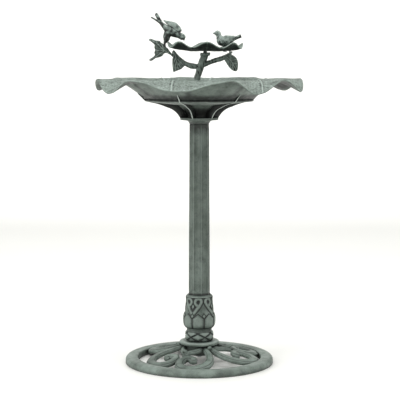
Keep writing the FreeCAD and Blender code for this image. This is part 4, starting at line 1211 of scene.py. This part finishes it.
def make_leaf_bird():
    """The fork-tailed bird on the lobed leaf, head down; x and z are the middle of its body."""
    x, z, depth = -66, 807, -6
    body = [
        (x - 28, z + 17.5, 3.4), (x - 19, z + 9.5, 5.8), (x - 8.5, z + 0.2, 9.4),
        (x + 1.5, z - 6, 10.4), (x + 11, z - 10, 9.2), (x + 18.5, z - 13.3, 7.6),
        (x + 25.5, z - 17, 7.9), (x + 29.5, z - 19.6, 6), (x + 31.6, z - 21.4, 2),
    ]
    beak = [(x + 28, z - 20, 3.8), (x + 29.4, z - 23.4, 2.6), (x + 29.6, z - 26, 1)]
    low_prong = [(x - 22, z + 13.5, 3.6), (x - 36, z + 22.4, 2.6), (x - 49, z + 29.6, 1.5)]
    high_prong = [
        (x - 23, z + 14.5, 3.4), (x - 31, z + 27, 4), (x - 35.4, z + 34.5, 4), (x - 37, z + 39.4, 2.4),
    ]
    thigh = [
        (x - 8, z - 6, 9.4), (x - 11.5, z - 16, 8.8), (x - 12.4, z - 21.5, 7.8), (x - 14, z - 26.5, 6),
        (x - 15.8, z - 30, 3.8), (x - 16.8, z - 34, 2.8), (x - 16.5, z - 40, 3),
    ]
    shells = Shell().solids(bar(body, depth, columns=28), bar(beak, depth))
    shells.solids(bar(low_prong, depth - 2, flat=0.6), bar(high_prong, depth + 2, flat=0.6))
    shells.solids(bar(thigh, depth))
    wings = []
    for side in (-1, 1):
        wing = [
            (x + 23, z - 5, 2.6), (x + 17, z + 1.5, 6), (x + 7, z + 9.4, 7.8), (x - 4, z + 14.2, 6),
            (x - 13, z + 18.6, 3.4), (x - 20.5, z + 23, 0.8),
        ]
        shells.solids(blade(wing, depth + side * 8.2, -side * 0.8, 0.3))
        centre = np.array([x + 2, depth + side * 8, z + 9])
        wings.append((centre, np.array([24, 4.5, 17]), np.array([0.62, 0, 1.0])))
    eyes(shells, (x + 26, depth, z - 13.5), 6.6, 1.5)
    head, wing_edge = np.array([x + 26, depth, z - 17]), (x + 17, z - 5.5, 0.745)
    sculpt = feathers(np.array([0.75, 0, -0.65]), wings, head, 0.75, wing_edge)
    cast("leaf_bird_cast", shells, 0.62, 2, FEATHER_SKIN, "leaf_bird", sculpt)


# ---- carried-over hardware ----------------------------------------------------------------------


def finish_hardware():
    """Better materials for the nodes that keep their own shape."""
    skins = {"zinc_steel": zinc(), "seal_rubber": rubber()}
    for row in frame["record"]["subparts"]:
        skin = skins.get(row["material_slot"])
        node = frame["nodes"][row["node"]]
        if skin is not None:
            node.data.materials.clear()
            node.data.materials.append(skin)


# ---- stage --------------------------------------------------------------------------------------


def pale(name, code, gloss):
    """Smooth paper, a little darker in faint clouds."""
    material, tree, where = new_material(name)
    tone = paint(code)
    duller = [part * 0.985 for part in tone[:3]] + [1]
    inputs = {
        "Base Color": mix_of(tree, noise_of(tree, where, 1.3, 3), tone, duller),
        "Roughness": gloss,
        "Normal": bump_of(tree, noise_of(tree, where, 300, 3), 0.05, 1.0),
    }
    close(tree, inputs)
    return material


def make_stage():
    """A pale floor that sweeps up far behind the object."""
    near, far, wide, bend = -6.0, 5.0, 9.0, 2.5
    profile = [(near, 0), (far, 0)]
    for step in range(1, 17):
        angle = math.pi / 2 * step / 16
        profile.append((far + bend * math.sin(angle), bend * (1 - math.cos(angle))))
    profile.append((far + bend, 9.0))
    points = [(side * wide, y, z) for y, z in profile for side in (-1, 1)]
    faces = [(2 * i, 2 * i + 1, 2 * i + 3, 2 * i + 2) for i in range(len(profile) - 1)]
    mesh = bpy.data.meshes.new("floor")
    mesh.from_pydata(points, [], faces)
    mesh.materials.append(pale("floor_paper", "f4f4f1", 0.5))
    in_scene("floor", mesh)


def area_light(name, place, target, size, power):
    """A soft box that faces the target."""
    lamp = bpy.data.lights.new(name, "AREA")
    lamp.shape = "RECTANGLE"
    lamp.size, lamp.size_y = size
    lamp.energy = power
    light = in_scene(name, lamp)
    light.location = place
    light.rotation_euler = (Vector(target) - Vector(place)).to_track_quat("-Z", "Y").to_euler()


def make_lights():
    """Even light from all round, soft boxes over and beside the object, and a wash on the sweep behind it."""
    world = bpy.data.worlds.new("soft_sky")
    world.use_nodes = True
    sky = world.node_tree.nodes["Background"]
    sky.inputs["Color"].default_value = (1.0, 1.0, 0.985, 1)
    sky.inputs["Strength"].default_value = 0.72
    bpy.context.scene.world = world
    bpy.context.scene.view_settings.view_transform = "Standard"
    middle = (0, 0, 0.45)
    area_light("top_box", (0, -0.3, 3.0), middle, (3.0, 3.0), 68)
    area_light("left_box", (-2.6, -1.6, 1.5), middle, (1.2, 2.6), 44)
    area_light("right_box", (2.8, -1.2, 1.3), middle, (0.9, 2.6), 16)
    area_light("back_wash", (0, 3.6, 2.6), (0, 7.0, 1.2), (5.0, 2.0), 100)


def make_camera():
    """Just above the basin's rim, about 3.35 m in front of the axis, through a long lens."""
    lens = bpy.data.cameras.new("camera")
    lens.sensor_width = 36
    lens.lens = 125.5
    lens.clip_start, lens.clip_end = 0.1, 60
    camera = in_scene("camera", lens)
    camera.location = (0.0017, -3.3546, 0.7541)
    camera.rotation_euler = (math.radians(90 - 6.06), 0, 0)
    bpy.context.scene.camera = camera


# ---- build --------------------------------------------------------------------------------------

make_base()
make_sleeve()
make_column()
make_cradle()
make_basin()
make_branch()
make_leaves()
make_dish()
make_dish_bird()
make_leaf_bird()
finish_hardware()
make_stage()
make_lights()
make_camera()
